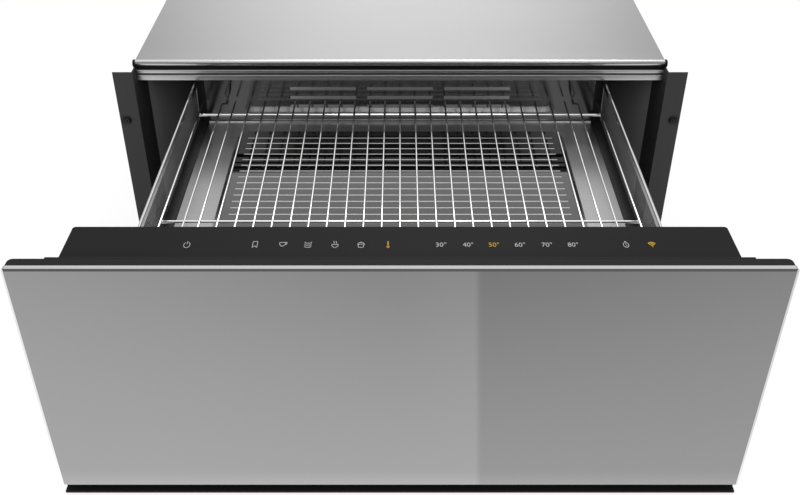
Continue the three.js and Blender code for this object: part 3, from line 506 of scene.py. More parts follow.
def piece(name, shell, paint, body, stands_for=(), sharp=35):
    """Puts a shell, in millimetres, into the scene as a piece that rides on a body. Edges of
    more than sharp degrees stay crisp. A flat plate takes a small angle: with its bevels shaded
    apart, its broad face stays truly flat and mirrors like plate glass."""
    points, faces = shell
    mesh = bpy.data.meshes.new(name)
    mesh.from_pydata((np.asarray(points) * MM).tolist(), [], faces)
    face_maker = bmesh.new()
    face_maker.from_mesh(mesh)
    bmesh.ops.recalc_face_normals(face_maker, faces=face_maker.faces)
    face_maker.to_mesh(mesh)
    face_maker.free()
    mesh.shade_smooth()
    mesh.set_sharp_from_angle(angle=math.radians(sharp))
    mesh.materials.append(paint.material)
    made = bpy.data.objects.new(name, mesh)
    bpy.context.scene.collection.objects.link(made)
    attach(made, body)
    if stands_for:
        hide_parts(*stands_for)
    print(name, "-", len(mesh.vertices), "points,", len(mesh.polygons), "faces")
    return made


# %% [markdown]
# ## The mirrored front
#
# The front is one pane of dark mirrored glass with a polished bevel. A pane like this is a
# rounded rectangle three times over: full size at the back, full size where the bevel starts and
# a little smaller on the face. The mirror coating makes it behave like a dull metal, so it shows
# the floor in front of it, and only fine waviness in the glass breaks it up. The bevel's two
# sides and its foot are made near white as a painted highlight; the top keeps the face's tone.

# %% Front glass
GLASS = limits("front_glass")
BEVEL_WIDTH = 2.5
BEVEL_DEPTH = 1.0
CORNER = 3.0


def front_pane():
    """Rounded rectangles in x and z, set one behind the other along y."""
    x0, x1, y0, y1, z0, z1 = GLASS
    rings = []
    for y, inset in ((y1, 0.3), (y1 - 0.3, 0), (y0 + BEVEL_DEPTH, 0), (y0, BEVEL_WIDTH)):
        radius = CORNER - inset * 0.6
        outline = rounded_box((x0 + inset, z0 + inset), (x1 - inset, z1 - inset), radius)
        rings.append(np.insert(outline, 1, y, axis=1))
    return stack(rings)


def mirror_paint():
    paint = Paint("mirrored_glass", grey(178), 0.06, 1.0)
    x, _, z = paint.axes()
    streak = paint.noise(3.0, (1, 1, 0.6), 2.0)
    haze = paint.noise(14.0, detail=4.0)
    # Painted highlight: near white on the bevel's two sides and its foot, not on its top.
    sides = abs(x).above(GLASS[1] - BEVEL_WIDTH, 0.3)
    lower = 1 - z.above(GLASS[4] + BEVEL_WIDTH, 0.3)
    face = paint.mix(streak, grey(176), grey(180))
    paint.set("Base Color", paint.mix(sides.math("MAXIMUM", lower), face, grey(252)))
    paint.set("Roughness", haze * 0.04 + 0.04)
    return paint.bump(paint.noise(2.0, detail=1.0), 0.0001, 0.25)


piece("front_pane", front_pane(), mirror_paint(), "drawer",
      ["front_glass"], 5)

# %% [markdown]
# ## Wires and rails
#
# The rack is polished wire: long wires laid on two thicker bars and welded where they cross.
# The two hook wires have a jog at the back and climb the wall. A wire is a circle carried along
# its path, and a softened path gives the jog its round bends. The black glass under the rack
# would double every wire into a tangle, so the rack is kept out of mirrors, as a retoucher would
# do it; only the wires' rear ends are left in, because they carry on in the steel wall.

# %% Chrome
def chrome_paint(name, level, roughness):
    paint = Paint(name, grey(level), roughness, 1.0)
    polish = paint.noise(60.0)
    fog = paint.noise(9.0, detail=2.0)
    paint.set("Base Color", paint.mix(fog, grey(level - 6), grey(level + 4)))
    paint.set("Roughness", polish * 0.06 + (roughness - 0.03))
    return paint.bump(paint.noise(90.0, detail=2.0), 0.000001, 0.5)


def shaded_end_chrome():
    """The wires' rear ends lie under the cover, and painted shade darkens them there: the tone
    falls from 246 to 84 between y = -66 and y = -46."""
    paint = chrome_paint("shaded_end_chrome", 246, 0.10)
    _, y, _ = paint.axes()
    # Painted shade: the wires turn dark towards their rear ends, under the cover.
    end_shade = y.above(-56, 20) * (0.92 + paint.noise(50.0) * 0.08)
    return paint.set("Base Color", paint.mix(end_shade, grey(242), grey(84)))


CHROME = chrome_paint("polished_chrome", 246, 0.10)
SHADED_END_CHROME = shaded_end_chrome()
print("chrome:", CHROME.material.name, "and", SHADED_END_CHROME.material.name)

# %% Wire rack
RACK = limits("wire_rack")
TRAY_DEPTH = 39.4
RACK_HEIGHT = 35.4
FLOOR = limits("tray")[5] - TRAY_DEPTH
WALL_FACE = 10.5
WIRE = 1.1
CROSS = 1.75
WIRE_PITCH = 20.0
WIRE_PAIRS = 11
LEVEL = FLOOR + RACK_HEIGHT
WELD_DEPTH = 0.4
CROSS_LEVEL = LEVEL - WIRE - CROSS + WELD_DEPTH
HOOK_X = 237.0
EDGE_X = 263.0
FRONT_END = RACK[2] + 1.2
REAR_END = WALL_FACE - 8
CROSS_Y = (FRONT_END + 39.2, REAR_END - 34.4)
TAIL_Y = -70.0
print("rack from y", RACK[2], "to", RACK[3], "at height", round(LEVEL, 2))


def hook_path():
    """Up from the tray, back along the rack, then in, up and away along the wall; every bend is
    a softened corner of this path."""
    corners = [(HOOK_X, FRONT_END, FLOOR + 0.4), (HOOK_X, FRONT_END, LEVEL),
               (HOOK_X, -4.5, LEVEL),
               (HOOK_X - 4, 1.9, LEVEL - 3), (HOOK_X - 8.5, 2.9, LEVEL + 8.5),
               (HOOK_X - 11, 3.1, LEVEL + 26)]
    return soften(corners, 3.2, 6)


def weld(x, y):
    """A flattened bead where two wires are joined: a small ball, squeezed to half its height."""
    angle = np.radians([-60, -25, 10, 45, 80])
    size = np.cos(angle) * 2.0
    path = np.stack([np.full(5, x), np.full(5, y), CROSS_LEVEL + 1.5 + np.sin(angle) * 0.9], 1)
    return tube(path, size, 8)


def wire(x, start, end):
    """A long wire's stretch; only its outer end is eased, the other meets the next stretch."""
    ease = np.array([0, 0.3, 0.7]) * np.sign(end - start)
    along = np.concatenate([start + ease, [end]])
    path = np.stack([np.full(4, x), along, np.full(4, LEVEL)], 1)
    return tube(path, WIRE * np.array([0.55, 0.88, 1, 1]), 14)


def rack():
    """The rack without the last 70 millimetres of its wires, and those ends."""
    xs = [i * WIRE_PITCH for i in range(-WIRE_PAIRS, WIRE_PAIRS + 1)] + [-EDGE_X, EDGE_X]
    field = [wire(x, FRONT_END, TAIL_Y) for x in xs]
    tails = [wire(x, REAR_END, TAIL_Y) for x in xs]
    half = EDGE_X + 1.5
    field += [bar((-half, y, CROSS_LEVEL), (half, y, CROSS_LEVEL), CROSS, 18) for y in CROSS_Y]
    field += [weld(x, y) for x in xs + [-HOOK_X, HOOK_X] for y in CROSS_Y]
    path = hook_path()
    split = np.argmax(path[:, 1] > -10)
    middle = [(HOOK_X, TAIL_Y, LEVEL)]
    front = tube(np.concatenate([path[:split], middle]), WIRE, 14)
    rear = tube(np.concatenate([middle, path[split:]]), WIRE, 14)
    return merge(*field, front, mirror(front)), merge(*tails, rear, mirror(rear))


field, tails = rack()
rack_field = piece("rack_field", field, CHROME, "rack", ["wire_rack"], 50)
rack_field.visible_glossy = False
piece("rack_tails", tails, SHADED_END_CHROME, "rack", [], 50)

# %% Side rails
RAIL = limits("right_side_rail")
RAIL_WIDTH = 3.4


def rail():
    """A U turned upside down: a half round on two thin legs, carried along y."""
    x0, x1, y0, y1, z0, z1 = RAIL
    middle, half = (x0 + x1) / 2, RAIL_WIDTH / 2
    x0, x1 = middle - half, middle + half
    slot = half - 0.25
    roof = z1 - 3.2
    top = turn((middle, z1 - half), half, 0, 180, 17)
    inside = [(x0, z0), (middle - slot, z0), (middle - slot, roof), (middle + slot, roof),
              (middle + slot, z0), (x1, z0)]
    ends = [y0, y0 + 0.4, y1 - 0.4, y1]
    return carry(np.concatenate([top, inside]), 1, ends)


RAIL_CHROME = chrome_paint("rail_chrome", 215, 0.08)
for side, shell in (("right", rail()), ("left", mirror(rail()))):
    solid = side + "_side_rail"
    piece(side + "_rail_bar", shell, RAIL_CHROME, "drawer", [solid], 40)

# %% [markdown]
# ## Glass sides and their black moulding
#
# The drawer's sides are clear panes. Between a pane and the steel floor lies a black moulding
# with a hollow face, and the same hollow climbs the two rear corners. One section serves for
# both: it runs back along the floor, is cut off at 45 degrees where the wall begins, and goes on
# upwards.

# %% Moulding
WALL = limits("back_wall")
HOLLOW = 9.5
GASKET = limits("glass_gasket")


def moulding():
    """Section points (x, height) on a quarter circle, height above the floor on the way back and
    height in front of the wall on the way up; the mitre ring has both."""
    inner, outer = -WALL[0] + 0.3, GASKET[1]
    curve = turn((inner, HOLLOW), HOLLOW, -90, -5, 15)
    x = np.concatenate([curve[:, 0], [outer, outer, inner]])
    height = np.concatenate([curve[:, 1], [HOLLOW, -1, -1]])
    low = np.where(height < 0, GASKET[4], FLOOR + height)
    back = np.where(height < 0, GASKET[3], WALL_FACE - height)
    narrow = np.minimum(x, RAIL[0] - 0.3)
    front = np.full(len(x), GASKET[2] + 4.5)
    top = np.full(len(x), GASKET[5])
    run = [np.stack(ring, 1) for ring in ((x, front, low), (x, back, low), (narrow, back, top))]
    return stack(run)


def front_bar():
    """A rounded box in y and height, carried from side to side along the tray's front."""
    depth = GASKET[2] + 4.2
    plan = rounded_box((GASKET[2], GASKET[4]), (depth, FLOOR + HOLLOW), 0.8, 4)
    return carry(plan, 0, [GASKET[0], GASKET[1]])


RUBBER = Paint("black_rubber", grey(13), 0.6, 0.0, Specular_IOR_Level=0.25)
RUBBER.set("Base Color", RUBBER.mix(RUBBER.noise(40.0), grey(9), grey(17)))
RUBBER.set("Roughness", RUBBER.noise(120.0) * 0.2 + 0.5)
RUBBER.bump(RUBBER.noise(900.0, detail=2.0), 0.00004, 0.5)
shell = merge(moulding(), mirror(moulding()), front_bar())
glass_moulding = piece("glass_moulding", shell, RUBBER, "drawer",
                       ["glass_gasket"], 40)
glass_moulding.visible_glossy = False


# %% Clear panes
def pane_paint():
    """Nearly clear: a sixth of the light stops at the glass, and a little more where it is
    smeared."""
    paint = Paint("clear_pane", grey(150), 0.05, 0.0, Specular_IOR_Level=0.5)
    smear = paint.noise(12.0, (1, 1, 2), 3.0)
    paint.set("Base Color", paint.mix(smear, grey(135), grey(155)))
    paint.set("Roughness", smear * 0.05 + 0.04)
    paint.set("Alpha", smear * 0.05 + 0.16)
    return paint


dress(pane_paint(), "*side_glass")

# %% [markdown]
# ## The steel well
#
# Floor and back wall are one grade of steel, ground along the drawer's width. Ground steel is a
# metal whose tiny scratches all run one way: we stretch a fine noise along x for the scratches
# and a broad one for the slight clouding of rolled sheet. Where the wall meets the floor the sheet
# runs out in a small cove, which catches the light from above as a bright line. Its section is a
# power curve: flat against the wall at the top, and leaning out more and more towards the floor.

# %% Ground steel
def ground_steel(name, level, roughness, along=0):
    """Scratches along one axis: noise that is stretched by 1 on that axis and by 60 across it."""
    paint = Paint(name, grey(level), roughness, 1.0)
    stretch = [60.0] * 3
    stretch[along] = 1.0
    scratch = paint.noise(9.0, tuple(stretch), 4.0, 0.65)
    cloud = paint.noise(5.0, detail=2.0)
    tone = scratch * 0.7 + cloud * 0.3
    paint.set("Base Color", paint.mix(tone, grey(level - 12), grey(level + 10)))
    paint.set("Roughness", scratch * 0.04 + (roughness - 0.02))
    return paint.bump(scratch, 0.0000004, 0.5)


# %% Back wall and floor
WALL_STEEL = ground_steel("wall_steel", 154, 0.12)
FLOOR_STEEL = ground_steel("floor_steel", 158, 0.30)
dress(WALL_STEEL, "back_wall")
dress(FLOOR_STEEL, "tray")
COVE_RISE = 6.0
COVE_OUT = 2.1


def cove():
    """The section in y and height: y = face - 2.1 * (1 - t)^1.7 while t climbs from 0 to 1."""
    t = np.linspace(0, 1, 12)
    face = WALL_FACE - 0.05 - COVE_OUT * (1 - t) ** 1.7
    height = WALL[4] + 0.3 + COVE_RISE * t
    front = np.stack([face, height], 1)
    back = [(WALL_FACE - 0.02, WALL[4] + 0.3 + COVE_RISE), (WALL_FACE - 0.02, WALL[4] + 0.3)]
    return carry(np.concatenate([front, back]), 0, [WALL[0] + 0.5, WALL[1] - 0.5])


piece("wall_foot", cove(), WALL_STEEL, "drawer", [], 30)

# %% [markdown]
# ## The glass hotplate
#
# A pane of black glass lies in a pressed steel border. The border is one ring of section: up a
# gentle slope from the floor, over a rounded lip and down to the ledge that carries the glass.
# Each point of the section is a rounded rectangle, larger or smaller than the glass, and the
# stack of them closes on itself. Fine grey lines are printed on the glass; they are part of the
# surface, so they are drawn by the material, from the distance to the nearest line.

# %% Border and black glass
PLATE = limits("base_glass")
BORDER = limits("plate_bezel")
PLATE_CORNER = 8.0
LEDGE_WIDTH = 8.6


def plate_ring(outset, z):
    """The glass's rounded outline, grown by outset, at height z."""
    x0, x1, y0, y1 = PLATE[:4]
    plan = rounded_box((x0 - outset, y0 - outset), (x1 + outset, y1 + outset),
                       max(PLATE_CORNER + outset, 1.0), 9)
    return np.insert(plan, 2, z, axis=1)


def border():
    """The section as pairs of outset and height: up the slope, over the lip, down beside the
    glass and back underneath along the ledge."""
    base, lip = BORDER[4], BORDER[5]
    width = PLATE[0] - BORDER[0]
    ledge = base + 2
    corners = [(width, base), (width - 0.2, base + 0.2), (1.6, lip), (0.3, lip), (0.3, ledge)]
    slope = soften(corners, 1.2, 4)
    inside = [(-LEDGE_WIDTH, ledge), (-LEDGE_WIDTH, base)]
    section = np.concatenate([slope, inside])
    return stack([plate_ring(outset, z) for outset, z in section], looped=True)


def plate():
    """The glass's outline four times over; the upper edge is ground round in two steps."""
    bottom, top = PLATE[4], PLATE[5]
    edge = [(0, bottom), (0, top - 0.6), (-0.2, top - 0.2), (-0.6, top)]
    return stack([plate_ring(outset, z) for outset, z in edge])


LINE_PITCH = 14.05
FIRST_LINE = -46.0
LAST_LINE = -299.5
LINE_HALF = 199.5
LINE_WIDTH = 1.7


def plate_paint():
    """Lines across the glass: the distance to the nearest one is |fract(y / pitch) - 0.5| times
    the pitch, and there is ink where it is less than half a line's width."""
    paint = Paint("printed_black_glass", grey(4), 0.03, 0.0, IOR=1.75)
    x, y, z = paint.axes()
    shifted = (y - FIRST_LINE) * (1 / LINE_PITCH) + 100.5
    wave = abs(shifted.math("FRACT") - 0.5) * LINE_PITCH
    line = (1 - wave.above(LINE_WIDTH / 2, 0.3)) * y.between(LAST_LINE, FIRST_LINE + 4, 0.5)
    line = line * (1 - abs(x).above(LINE_HALF, 0.5)) * z.above(PLATE[5] - 0.3, 0.2)
    wear = paint.noise(90.0)
    ink = paint.mix(wear, grey(160), grey(178))
    paint.set("Base Color", paint.mix(line, grey(4), ink))
    paint.set("Roughness", line * 0.35 + 0.03)
    return paint


BORDER_STEEL = ground_steel("border_steel", 205, 0.16)
piece("plate_border", border(), BORDER_STEEL, "drawer", ["plate_bezel"], 40)
piece("glass_plate", plate(), plate_paint(), "drawer", ["base_glass"], 8)

# %% [markdown]
# ## The touch strip
#
# Smoked glass with a satin face lies on a black moulding behind the front. On it are printed a
# power sign, five programmes, a thermometer, six temperatures and two functions. The signs are
# our own simple drawings. Each stroke is a ribbon: an outline with a width, a few hundredths of a
# millimetre thick. The numerals are a text object turned into a mesh.

# %% Satin black
def satin(name, level, roughness, gloss=0.1, grain=1500.0):
    """Moulded or coated black: a drifting tone and a fine grain in the gloss and the bump."""
    paint = Paint(name, grey(level), roughness, 0.0, Specular_IOR_Level=gloss)
    mottle = paint.noise(7.0)
    fine = paint.noise(grain, detail=2.0)
    paint.set("Base Color", paint.mix(mottle, grey(level - 2), grey(level + 2)))
    paint.set("Roughness", fine * 0.12 + (roughness - 0.06))
    return paint.bump(fine, 0.00003, 0.4)


STRIP = limits("control_glass")
STRIP_CORNER = 3.5


def strip_pane():
    """A rounded plan four times over, drawn in by a little more at each step of the upper edge."""
    x0, x1, y0, y1, z0, z1 = STRIP
    rings = []
    for z, inset in ((z0, 0), (z1 - 0.6, 0), (z1 - 0.15, 0.25), (z1, 0.6)):
        plan = rounded_box((x0 + inset, y0), (x1 - inset, y1 - inset), STRIP_CORNER - inset, 7)
        rings.append(np.insert(plan, 2, z, axis=1))
    return stack(rings)


STRIP_PAINT = satin("smoked_glass", 27, 0.42, 0.04)
piece("strip_pane", strip_pane(), STRIP_PAINT, "drawer", ["control_glass"], 8)
MOULDED = satin("moulded_black", 33, 0.5, 0.04)
dress(MOULDED, "control_housing", "door_frame")
dress(satin("ledge_black", 22, 0.5, 0.1), "door_ledge")

# %% Signs
SIGN_Y = -371.4
SIGN_TOP = STRIP[5]
INK_HEIGHT = 0.05
SIGN_SIZE = (3.9, 6.0)
STROKE = 0.16


def ribbon(points, closed=False, stroke=STROKE):
    """A stroke along a line: four corners at each point, half a stroke to either side and at the
    ink's two heights. Sizes are in sign units; the sign's own scale comes afterwards."""
    points = np.array(points, float)
    if closed:
        ahead = np.roll(points, -1, 0) - np.roll(points, 1, 0)
    else:
        ahead = np.gradient(points, axis=0)
    ahead /= np.linalg.norm(ahead, axis=1, keepdims=True)
    side = np.stack([-ahead[:, 1], ahead[:, 0]], 1) * stroke / 2
    left, right = points + side, points - side
    low, high = np.zeros((len(points), 1)), np.ones((len(points), 1))
    rings = np.stack([np.concatenate(pair, 1) for pair in
                      ((left, low), (right, low), (right, high), (left, high))], 1)
    return stack(rings, looped=closed)


def line(*points):
    """A ribbon with sharp corners is drawn as several, one for each straight run."""
    return [ribbon(pair) for pair in zip(points[:-1], points[1:])]


def power():
    return [ribbon(turn((0, -0.1), 0.8, 120, 420, 25)), *line((0, 0.1), (0, 1.0))]


def bookmark():
    return line((-0.6, 0.9), (0.6, 0.9), (0.6, -0.9), (0, -0.35), (-0.6, -0.9), (-0.6, 0.9))


def cup():
    bowl = ribbon(turn((-0.15, 0.6), 0.8, 180, 360, 15) * [1, 1.3] - [0, 0.2])
    handle = ribbon(turn((0.65, 0.35), 0.35, -100, 100, 9))
    return [bowl, handle, *line((-0.95, 0.6), (0.65, 0.6))]


def dishes():
    rows = [[(-0.9, z + 0.35), (-0.6, z), (0.6, z), (0.9, z + 0.35)] for z in (-0.8, -0.2, 0.4)]
    return [ribbon(soften(row, 0.2)) for row in rows]


def bowl():
    round_side = ribbon(turn((0, 0), 0.85, 180, 360, 15))
    foot = line((-0.35, -0.9), (0.35, -0.9))
    sway, rise = 0.1 * np.sin(np.linspace(0, 6, 9)), np.linspace(0.3, 1, 9)
    steam = [ribbon(np.stack([x + sway, rise], 1)) for x in (-0.3, 0.3)]
    return [round_side, *line((-0.95, 0), (0.95, 0)), *foot, *steam]


def pot():
    body = line((-0.65, 0.1), (-0.65, -0.8), (0.65, -0.8), (0.65, 0.1))
    lid = ribbon(turn((0, 0.1), 0.85, 10, 170, 11) * [1, 0.6] + [0, 0.05])
    knob = line((-0.15, 0.75), (0.15, 0.75))
    handles = [*line((-0.95, -0.1), (-0.65, -0.1)), *line((0.65, -0.1), (0.95, -0.1))]
    return [*body, lid, *line((-0.9, 0.1), (0.9, 0.1)), *knob, *handles]


def thermometer():
    bulb = [ribbon(turn((0, -0.6), r, 0, 345, 12), True, 0.22) for r in (0.1, 0.28)]
    return [*bulb, ribbon([(0, -0.4), (0, 0.95)], stroke=0.34)]


def timer():
    face = ribbon(turn((0, -0.1), 0.7, 0, 345, 22), True)
    hands = line((0, 0.35), (0, -0.1), (0.35, -0.3))
    return [face, *hands, *line((-0.25, 0.9), (0.25, 0.9))]


def radio_waves():
    arcs = [ribbon(turn((0, -0.7), r, 45, 135, 9), stroke=0.26) for r in (0.55, 0.95, 1.35)]
    return [*arcs, ribbon([(0, -0.75), (0, -0.5)], stroke=0.26)]


def ink_paint(name, color):
    paint = Paint(name, color, 0.5, 0.0, Specular_IOR_Level=0.1)
    speck = paint.noise(300.0, detail=2.0)
    faint = tuple(channel * 0.9 for channel in color)
    paint.set("Base Color", paint.mix(speck, faint, color))
    return paint


GREY_INK = ink_paint("grey_ink", grey(160))
AMBER_INK = ink_paint("amber_ink", (0.40, 0.25, 0.02))
WHITE_SIGNS = {-215.4: power, -146.6: bookmark, -118.3: cup, -93.0: dishes, -65.7: bowl,
               -39.4: pot, 228.5: timer}
AMBER_SIGNS = {-12.1: thermometer, 254.8: radio_waves}


def signs(table):
    """Each sign is drawn about zero, scaled to its size and moved to its place on the strip."""
    shells = []
    for x, draw in table.items():
        points, faces = merge(*draw())
        points = points * [*SIGN_SIZE, INK_HEIGHT] + [x, SIGN_Y, SIGN_TOP]
        shells.append((points, faces))
    return merge(*shells)


piece("white_signs", signs(WHITE_SIGNS), GREY_INK, "drawer")
piece("amber_signs", signs(AMBER_SIGNS), AMBER_INK, "drawer")

# %% Numerals
NUMERAL_WIDTH = 10.6
NUMERAL_DEPTH = 7.6


def numeral(text, x):
    """A text object's mesh, fitted to the width and depth of the printed numeral."""
    data = bpy.data.curves.new("numeral", "FONT")
    data.body = text
    data.extrude = 0.5
    data.resolution_u = 4
    source = bpy.data.objects.new("numeral", data)
    bpy.context.scene.collection.objects.link(source)
    bpy.context.view_layer.update()
    depsgraph = bpy.context.evaluated_depsgraph_get()
    mesh = bpy.data.meshes.new_from_object(source.evaluated_get(depsgraph))
    points = np.zeros(len(mesh.vertices) * 3)
    mesh.vertices.foreach_get("co", points)
    faces = [list(face.vertices) for face in mesh.polygons]
    bpy.data.objects.remove(source)
    points = points.reshape(-1, 3)
    low, high = points.min(0), points.max(0)
    share = (points - low) / (high - low)
    size = np.array([NUMERAL_WIDTH, NUMERAL_DEPTH, INK_HEIGHT])
    return (share - [0.5, 0.5, 0]) * size + [x, SIGN_Y, SIGN_TOP], faces


TEMPERATURES = {30: 41.5, 40: 68.8, 50: 95.0, 60: 121.3, 70: 148.6, 80: 174.9}
CHOSEN = 50
plain = [numeral(f"{t}°", x) for t, x in TEMPERATURES.items() if t != CHOSEN]
piece("white_numerals", merge(*plain), GREY_INK, "drawer")
lit = numeral(f"{CHOSEN}°", TEMPERATURES[CHOSEN])
piece("amber_numeral", lit, AMBER_INK, "drawer")

# %% [markdown]
# ## The housing's face
#
# The cover is one sheet whose front edge is rolled into a hem. In section it is a line that runs
# forward along the top and then round a circle; the sheet's inner face is the same line, moved
# inwards by the metal's thickness. The fascia under it is another bent line, with a groove.

# %% Cover and fascia
COVER = limits("top_cover")
HEM_RADIUS = 4.15
COVER_SHEET = 1.2
FASCIA = limits("front_cross_member")
GROOVE_DEPTH = 2.5


def cover():
    """The section in y and z: up the rear lip, forward, and 240 degrees of roll."""
    x0, x1, y0, y1, z0, z1 = COVER
    bend = soften([(y1, z1 - 10), (y1, z1), (y0 + HEM_RADIUS + 1, z1)], 1.6)
    roll = turn((y0 + HEM_RADIUS, z1 - HEM_RADIUS), HEM_RADIUS, 90, 330, 41)
    section = thicken(np.concatenate([bend, roll]), COVER_SHEET)
    skin = carry(section, 0, [x0, x0 + 0.2, x1 - 0.2, x1])
    lip_front = FASCIA[3] + 2
    plan = rounded_box((x1 - COVER_SHEET, z0), (x1 - 0.01, z1 - COVER_SHEET + 0.05), 0.4, 3)
    lip = carry(plan, 1, [lip_front, y1 - COVER_SHEET])
    return merge(skin, lip, mirror(lip))


def fascia():
    """A bent line in y and z, carried along x: back, down the front with its groove, and back."""
    x0, x1, y0, y1, z0, z1 = FASCIA
    groove = z1 - 4.7
    low = groove - 2.6
    sunk = y0 + GROOVE_DEPTH
    path = [(y1, z1), (y0, z1), (y0, groove), (sunk, groove - 0.5), (sunk, low + 0.5), (y0, low),
            (y0, z0), (y1, z0)]
    return carry(thicken(soften(path, 0.9, 6), 1.2), 0, [x0, x1])


def sheet_steel(name, level, roughness):
    """Rolled sheet: broad clouds in the tone, and a fine grain along x in the polish."""
    paint = Paint(name, grey(level), roughness, 1.0)
    cloud = paint.noise(2.2, (1, 1.6, 1), 3.0)
    grain = paint.noise(30.0, (1, 40, 40), 3.0, 0.6)
    paint.set("Base Color", paint.mix(cloud, grey(level - 7), grey(level + 6)))
    paint.set("Roughness", grain * 0.08 + (roughness - 0.04))
    return paint.bump(grain, 0.0000006, 0.5)


def fascia_paint():
    """Sheet steel with painted shade: dark grey in the depth of the groove."""
    paint = sheet_steel("fascia_sheet_steel", 212, 0.30)
    _, y, _ = paint.axes()
    # Painted shade in the groove: the base colour falls to grey 95 there.
    sunk = y.between(FASCIA[2] + 0.9, FASCIA[2] + 3.2, 0.5)
    bright = paint.mix(paint.noise(2.2), grey(205), grey(216))
    return paint.set("Base Color", paint.mix(sunk, bright, grey(95)))


COVER_STEEL = sheet_steel("cover_sheet_steel", 196, 0.20)
piece("cover_sheet", cover(), COVER_STEEL, "housing", ["top_cover"], 30)
piece("fascia_channel", fascia(), fascia_paint(), "housing",
      ["front_cross_member"], 8)

# %% Hem caps
CAP = limits("right_hem_cap")


def hem_cap():
    """Circles of one section turned about the x axis: a rounded rim with a blind hole."""
    x0, x1, y0, y1, z0, z1 = CAP
    radius = (z1 - z0) / 2
    centre = ((y0 + y1) / 2, (z0 + z1) / 2)
    rim = [(x0, radius - 0.3), (x0 + 0.3, radius), (x1 - 0.9, radius), (x1 - 0.25, radius - 0.35)]
    section = [*rim, (x1, radius - 1.0), (x1 - 0.1, 3.3), (x1 - 0.5, 3.0), (x1 - 1.75, 2.9)]
    return stack([np.insert(turn(centre, r, 0, 350, 36), 0, x, axis=1) for x, r in section])


for side, shell in (("right", hem_cap()), ("left", mirror(hem_cap()))):
    piece(side + "_cap_ring", shell, RUBBER, "housing", [side + "_hem_cap"], 40)
dress(RUBBER, "front_seal", "front_bearer", "rear_bearer", "*door_buffer")

# %% [markdown]
# ## Painted steel
#
# The mounting flanges are painted a dark satin grey and the housing's sides a light one. Paint
# shrinks into a fine orange peel, which is a low bump a millimetre or two across, and it never
# lies perfectly evenly, so its tone and its gloss drift a little. The screws get the same paint,
# nearly black and glossier.

# %% Paint on steel
def painted(name, level, roughness, gloss=0.3):
    """Tone and gloss drift together; the orange peel is a fine noise in the bump."""
    paint = Paint(name, grey(level), roughness, 0.0, Specular_IOR_Level=gloss)
    drift = paint.noise(4.0)
    peel = paint.noise(420.0, detail=2.0)
    paint.set("Base Color", paint.mix(drift, grey(level - 4), grey(level + 4)))
    paint.set("Roughness", drift * 0.1 + (roughness - 0.05))
    return paint.bump(peel, 0.00006, 0.35)


dress(painted("flange_paint", 56, 0.5, 0.1), "*flange")
dress(painted("side_paint", 175, 0.5, 0.1), "*side_panel")

# %% Screws
SCREW_RADIUS = 5.0


def screw(node):
    """A dished head on a short shank: rings about the y axis, each with its place and radius.
    The last two are the recess: their radius follows 0.55 + 0.45 cos(4 * angle), so four rounded
    arms are cut into the crown."""
    x0, x1, y0, y1, z0, z1 = limits(node)
    cx, cz = (x0 + x1) / 2, (z0 + z1) / 2
    angle = np.radians(np.arange(0, 360, 10))
    circle = np.ones(len(angle))
    arms = 0.55 + 0.45 * np.clip(np.cos(4 * angle), -0.4, 1)
    head = SCREW_RADIUS
    shank = [(y1, 0.6), (y1 - 2, 1.9), (y0 + 2.2, 2.0)]
    crown = [(y0 + 2.15, head - 0.3), (y0 + 1.7, head), (y0 + 1.0, head - 0.5),
             (y0 + 0.3, head - 1.6), (y0 + 0.02, head - 2.6)]
    recess = [(y0 + 0.1, 2.1), (y0 + 1.4, 1.4)]
    rings = []
    for section, form in ((shank + crown, circle), (recess, arms)):
        for y, size in section:
            across, up = size * form * np.cos(angle), size * form * np.sin(angle)
            rings.append(np.stack([cx + across, y * circle, cz + up], 1))
    return stack(rings)


SCREW_PAINT = painted("screw_black", 9, 0.28, 0.4)
for side in ("left", "right"):
    for level in ("upper", "lower"):
        solid = f"{side}_flange_screw_{level}"
        name = f"{side}_{level}_screw"
        piece(name, screw(solid), SCREW_PAINT, "housing", [solid], 35)

# %% [markdown]
# ## Inside and behind
#
# What the photograph can't show still has its own finishes: galvanised sheet with its crystal
# pattern, a lacquered circuit board, a silicone heating mat, mineral wool and nylon. Zinc grows
# in flat crystals, so its tone is one random value per cell of a Voronoi pattern.

# %% Hidden finishes
def galvanised():
    """Each cell of the Voronoi pattern has one random number, which sets its tone and polish."""
    paint = Paint("galvanised_sheet", grey(165), 0.42, 1.0)
    cells = paint.node("ShaderNodeTexVoronoi", {}, {"Vector": paint.place(), "Scale": 90.0})
    split = paint.node("ShaderNodeSeparateColor", {}, [cells.outputs["Color"]])
    crystal = Value(paint, split.outputs[0])
    paint.set("Base Color", paint.mix(crystal, grey(150), grey(182)))
    paint.set("Roughness", crystal * 0.16 + 0.34)
    return paint.bump(paint.noise(300.0), 0.00003, 0.3)


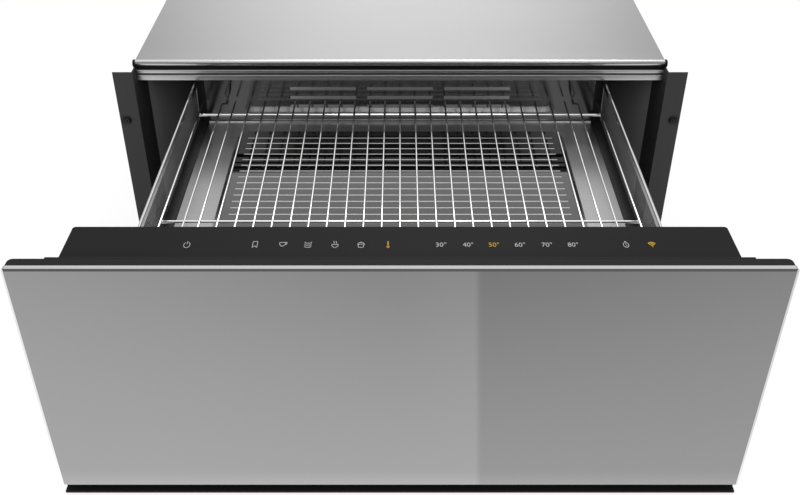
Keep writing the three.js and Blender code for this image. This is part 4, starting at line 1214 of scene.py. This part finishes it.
def circuit_board():
    """Green lacquer over a brick pattern whose joints stand for the copper tracks."""
    paint = Paint("circuit_board", (0.02, 0.10, 0.04), 0.4, 0.0)
    tracks = paint.node("ShaderNodeTexBrick", {"offset": 0.5},
                        {"Vector": paint.place(), "Scale": 90.0, "Mortar Size": 0.03})
    copper = Value(paint, tracks.outputs["Fac"])
    paint.set("Base Color", paint.mix(copper, (0.015, 0.08, 0.035), (0.04, 0.17, 0.07)))
    return paint.bump(copper, 0.00004, 0.5)


def silicone_mat():
    """The glass cloth in the rubber shows as a weave: sin(2.1 x) * sin(2.1 y), in millimetres."""
    paint = Paint("silicone_mat", (0.25, 0.045, 0.02), 0.65, 0.0)
    x, y, _ = paint.axes()
    weave = (x * 2.1).math("SINE") * (y * 2.1).math("SINE")
    dull, fresh = (0.21, 0.04, 0.018), (0.30, 0.06, 0.025)
    paint.set("Base Color", paint.mix(paint.noise(30.0), dull, fresh))
    return paint.bump(weave, 0.0001, 0.5)


def mineral_wool():
    """Pale fibres that lie along x: noise that is squeezed along y."""
    paint = Paint("mineral_wool", (0.55, 0.50, 0.36), 0.95, 0.0, Specular_IOR_Level=0.1)
    fibre = paint.noise(120.0, (1, 6, 1), 5.0, 0.7)
    paint.set("Base Color", paint.mix(fibre, (0.42, 0.37, 0.25), (0.66, 0.61, 0.46)))
    return paint.bump(fibre, 0.0006, 0.8)


def nylon():
    paint = Paint("natural_nylon", grey(215), 0.5, 0.0)
    paint.set("Base Color", paint.mix(paint.noise(60.0), grey(208), grey(220)))
    return paint.bump(paint.noise(700.0), 0.00003, 0.4)


dress(galvanised(), "base_plate", "rear_panel", "*slide_carrier", "*outer_slide", "*middle_slide",
      "*inner_slide", "door_inner_panel", "chassis_bottom", "*chassis_side", "chassis_rear",
      "fan_scroll")
dress(satin("grained_black", 34, 0.55, 0.3, 900.0), "*opener_body", "electronics_box",
      "mains_inlet", "fan_motor", "fan_rotor")
dress(nylon(), "*opener_plunger")
dress(circuit_board(), "control_board")
dress(silicone_mat(), "heating_mat")
dress(mineral_wool(), "insulation_pad")
dress(ground_steel("heater_tube", 140, 0.35), "heater_rod")
painted_solids = [node for node in nodes.values() if node.data.materials]
finished = [node for node in painted_solids if node.data.materials[0].node_tree]
print(len(finished), "of", len(nodes), "solids have a finish of their own")
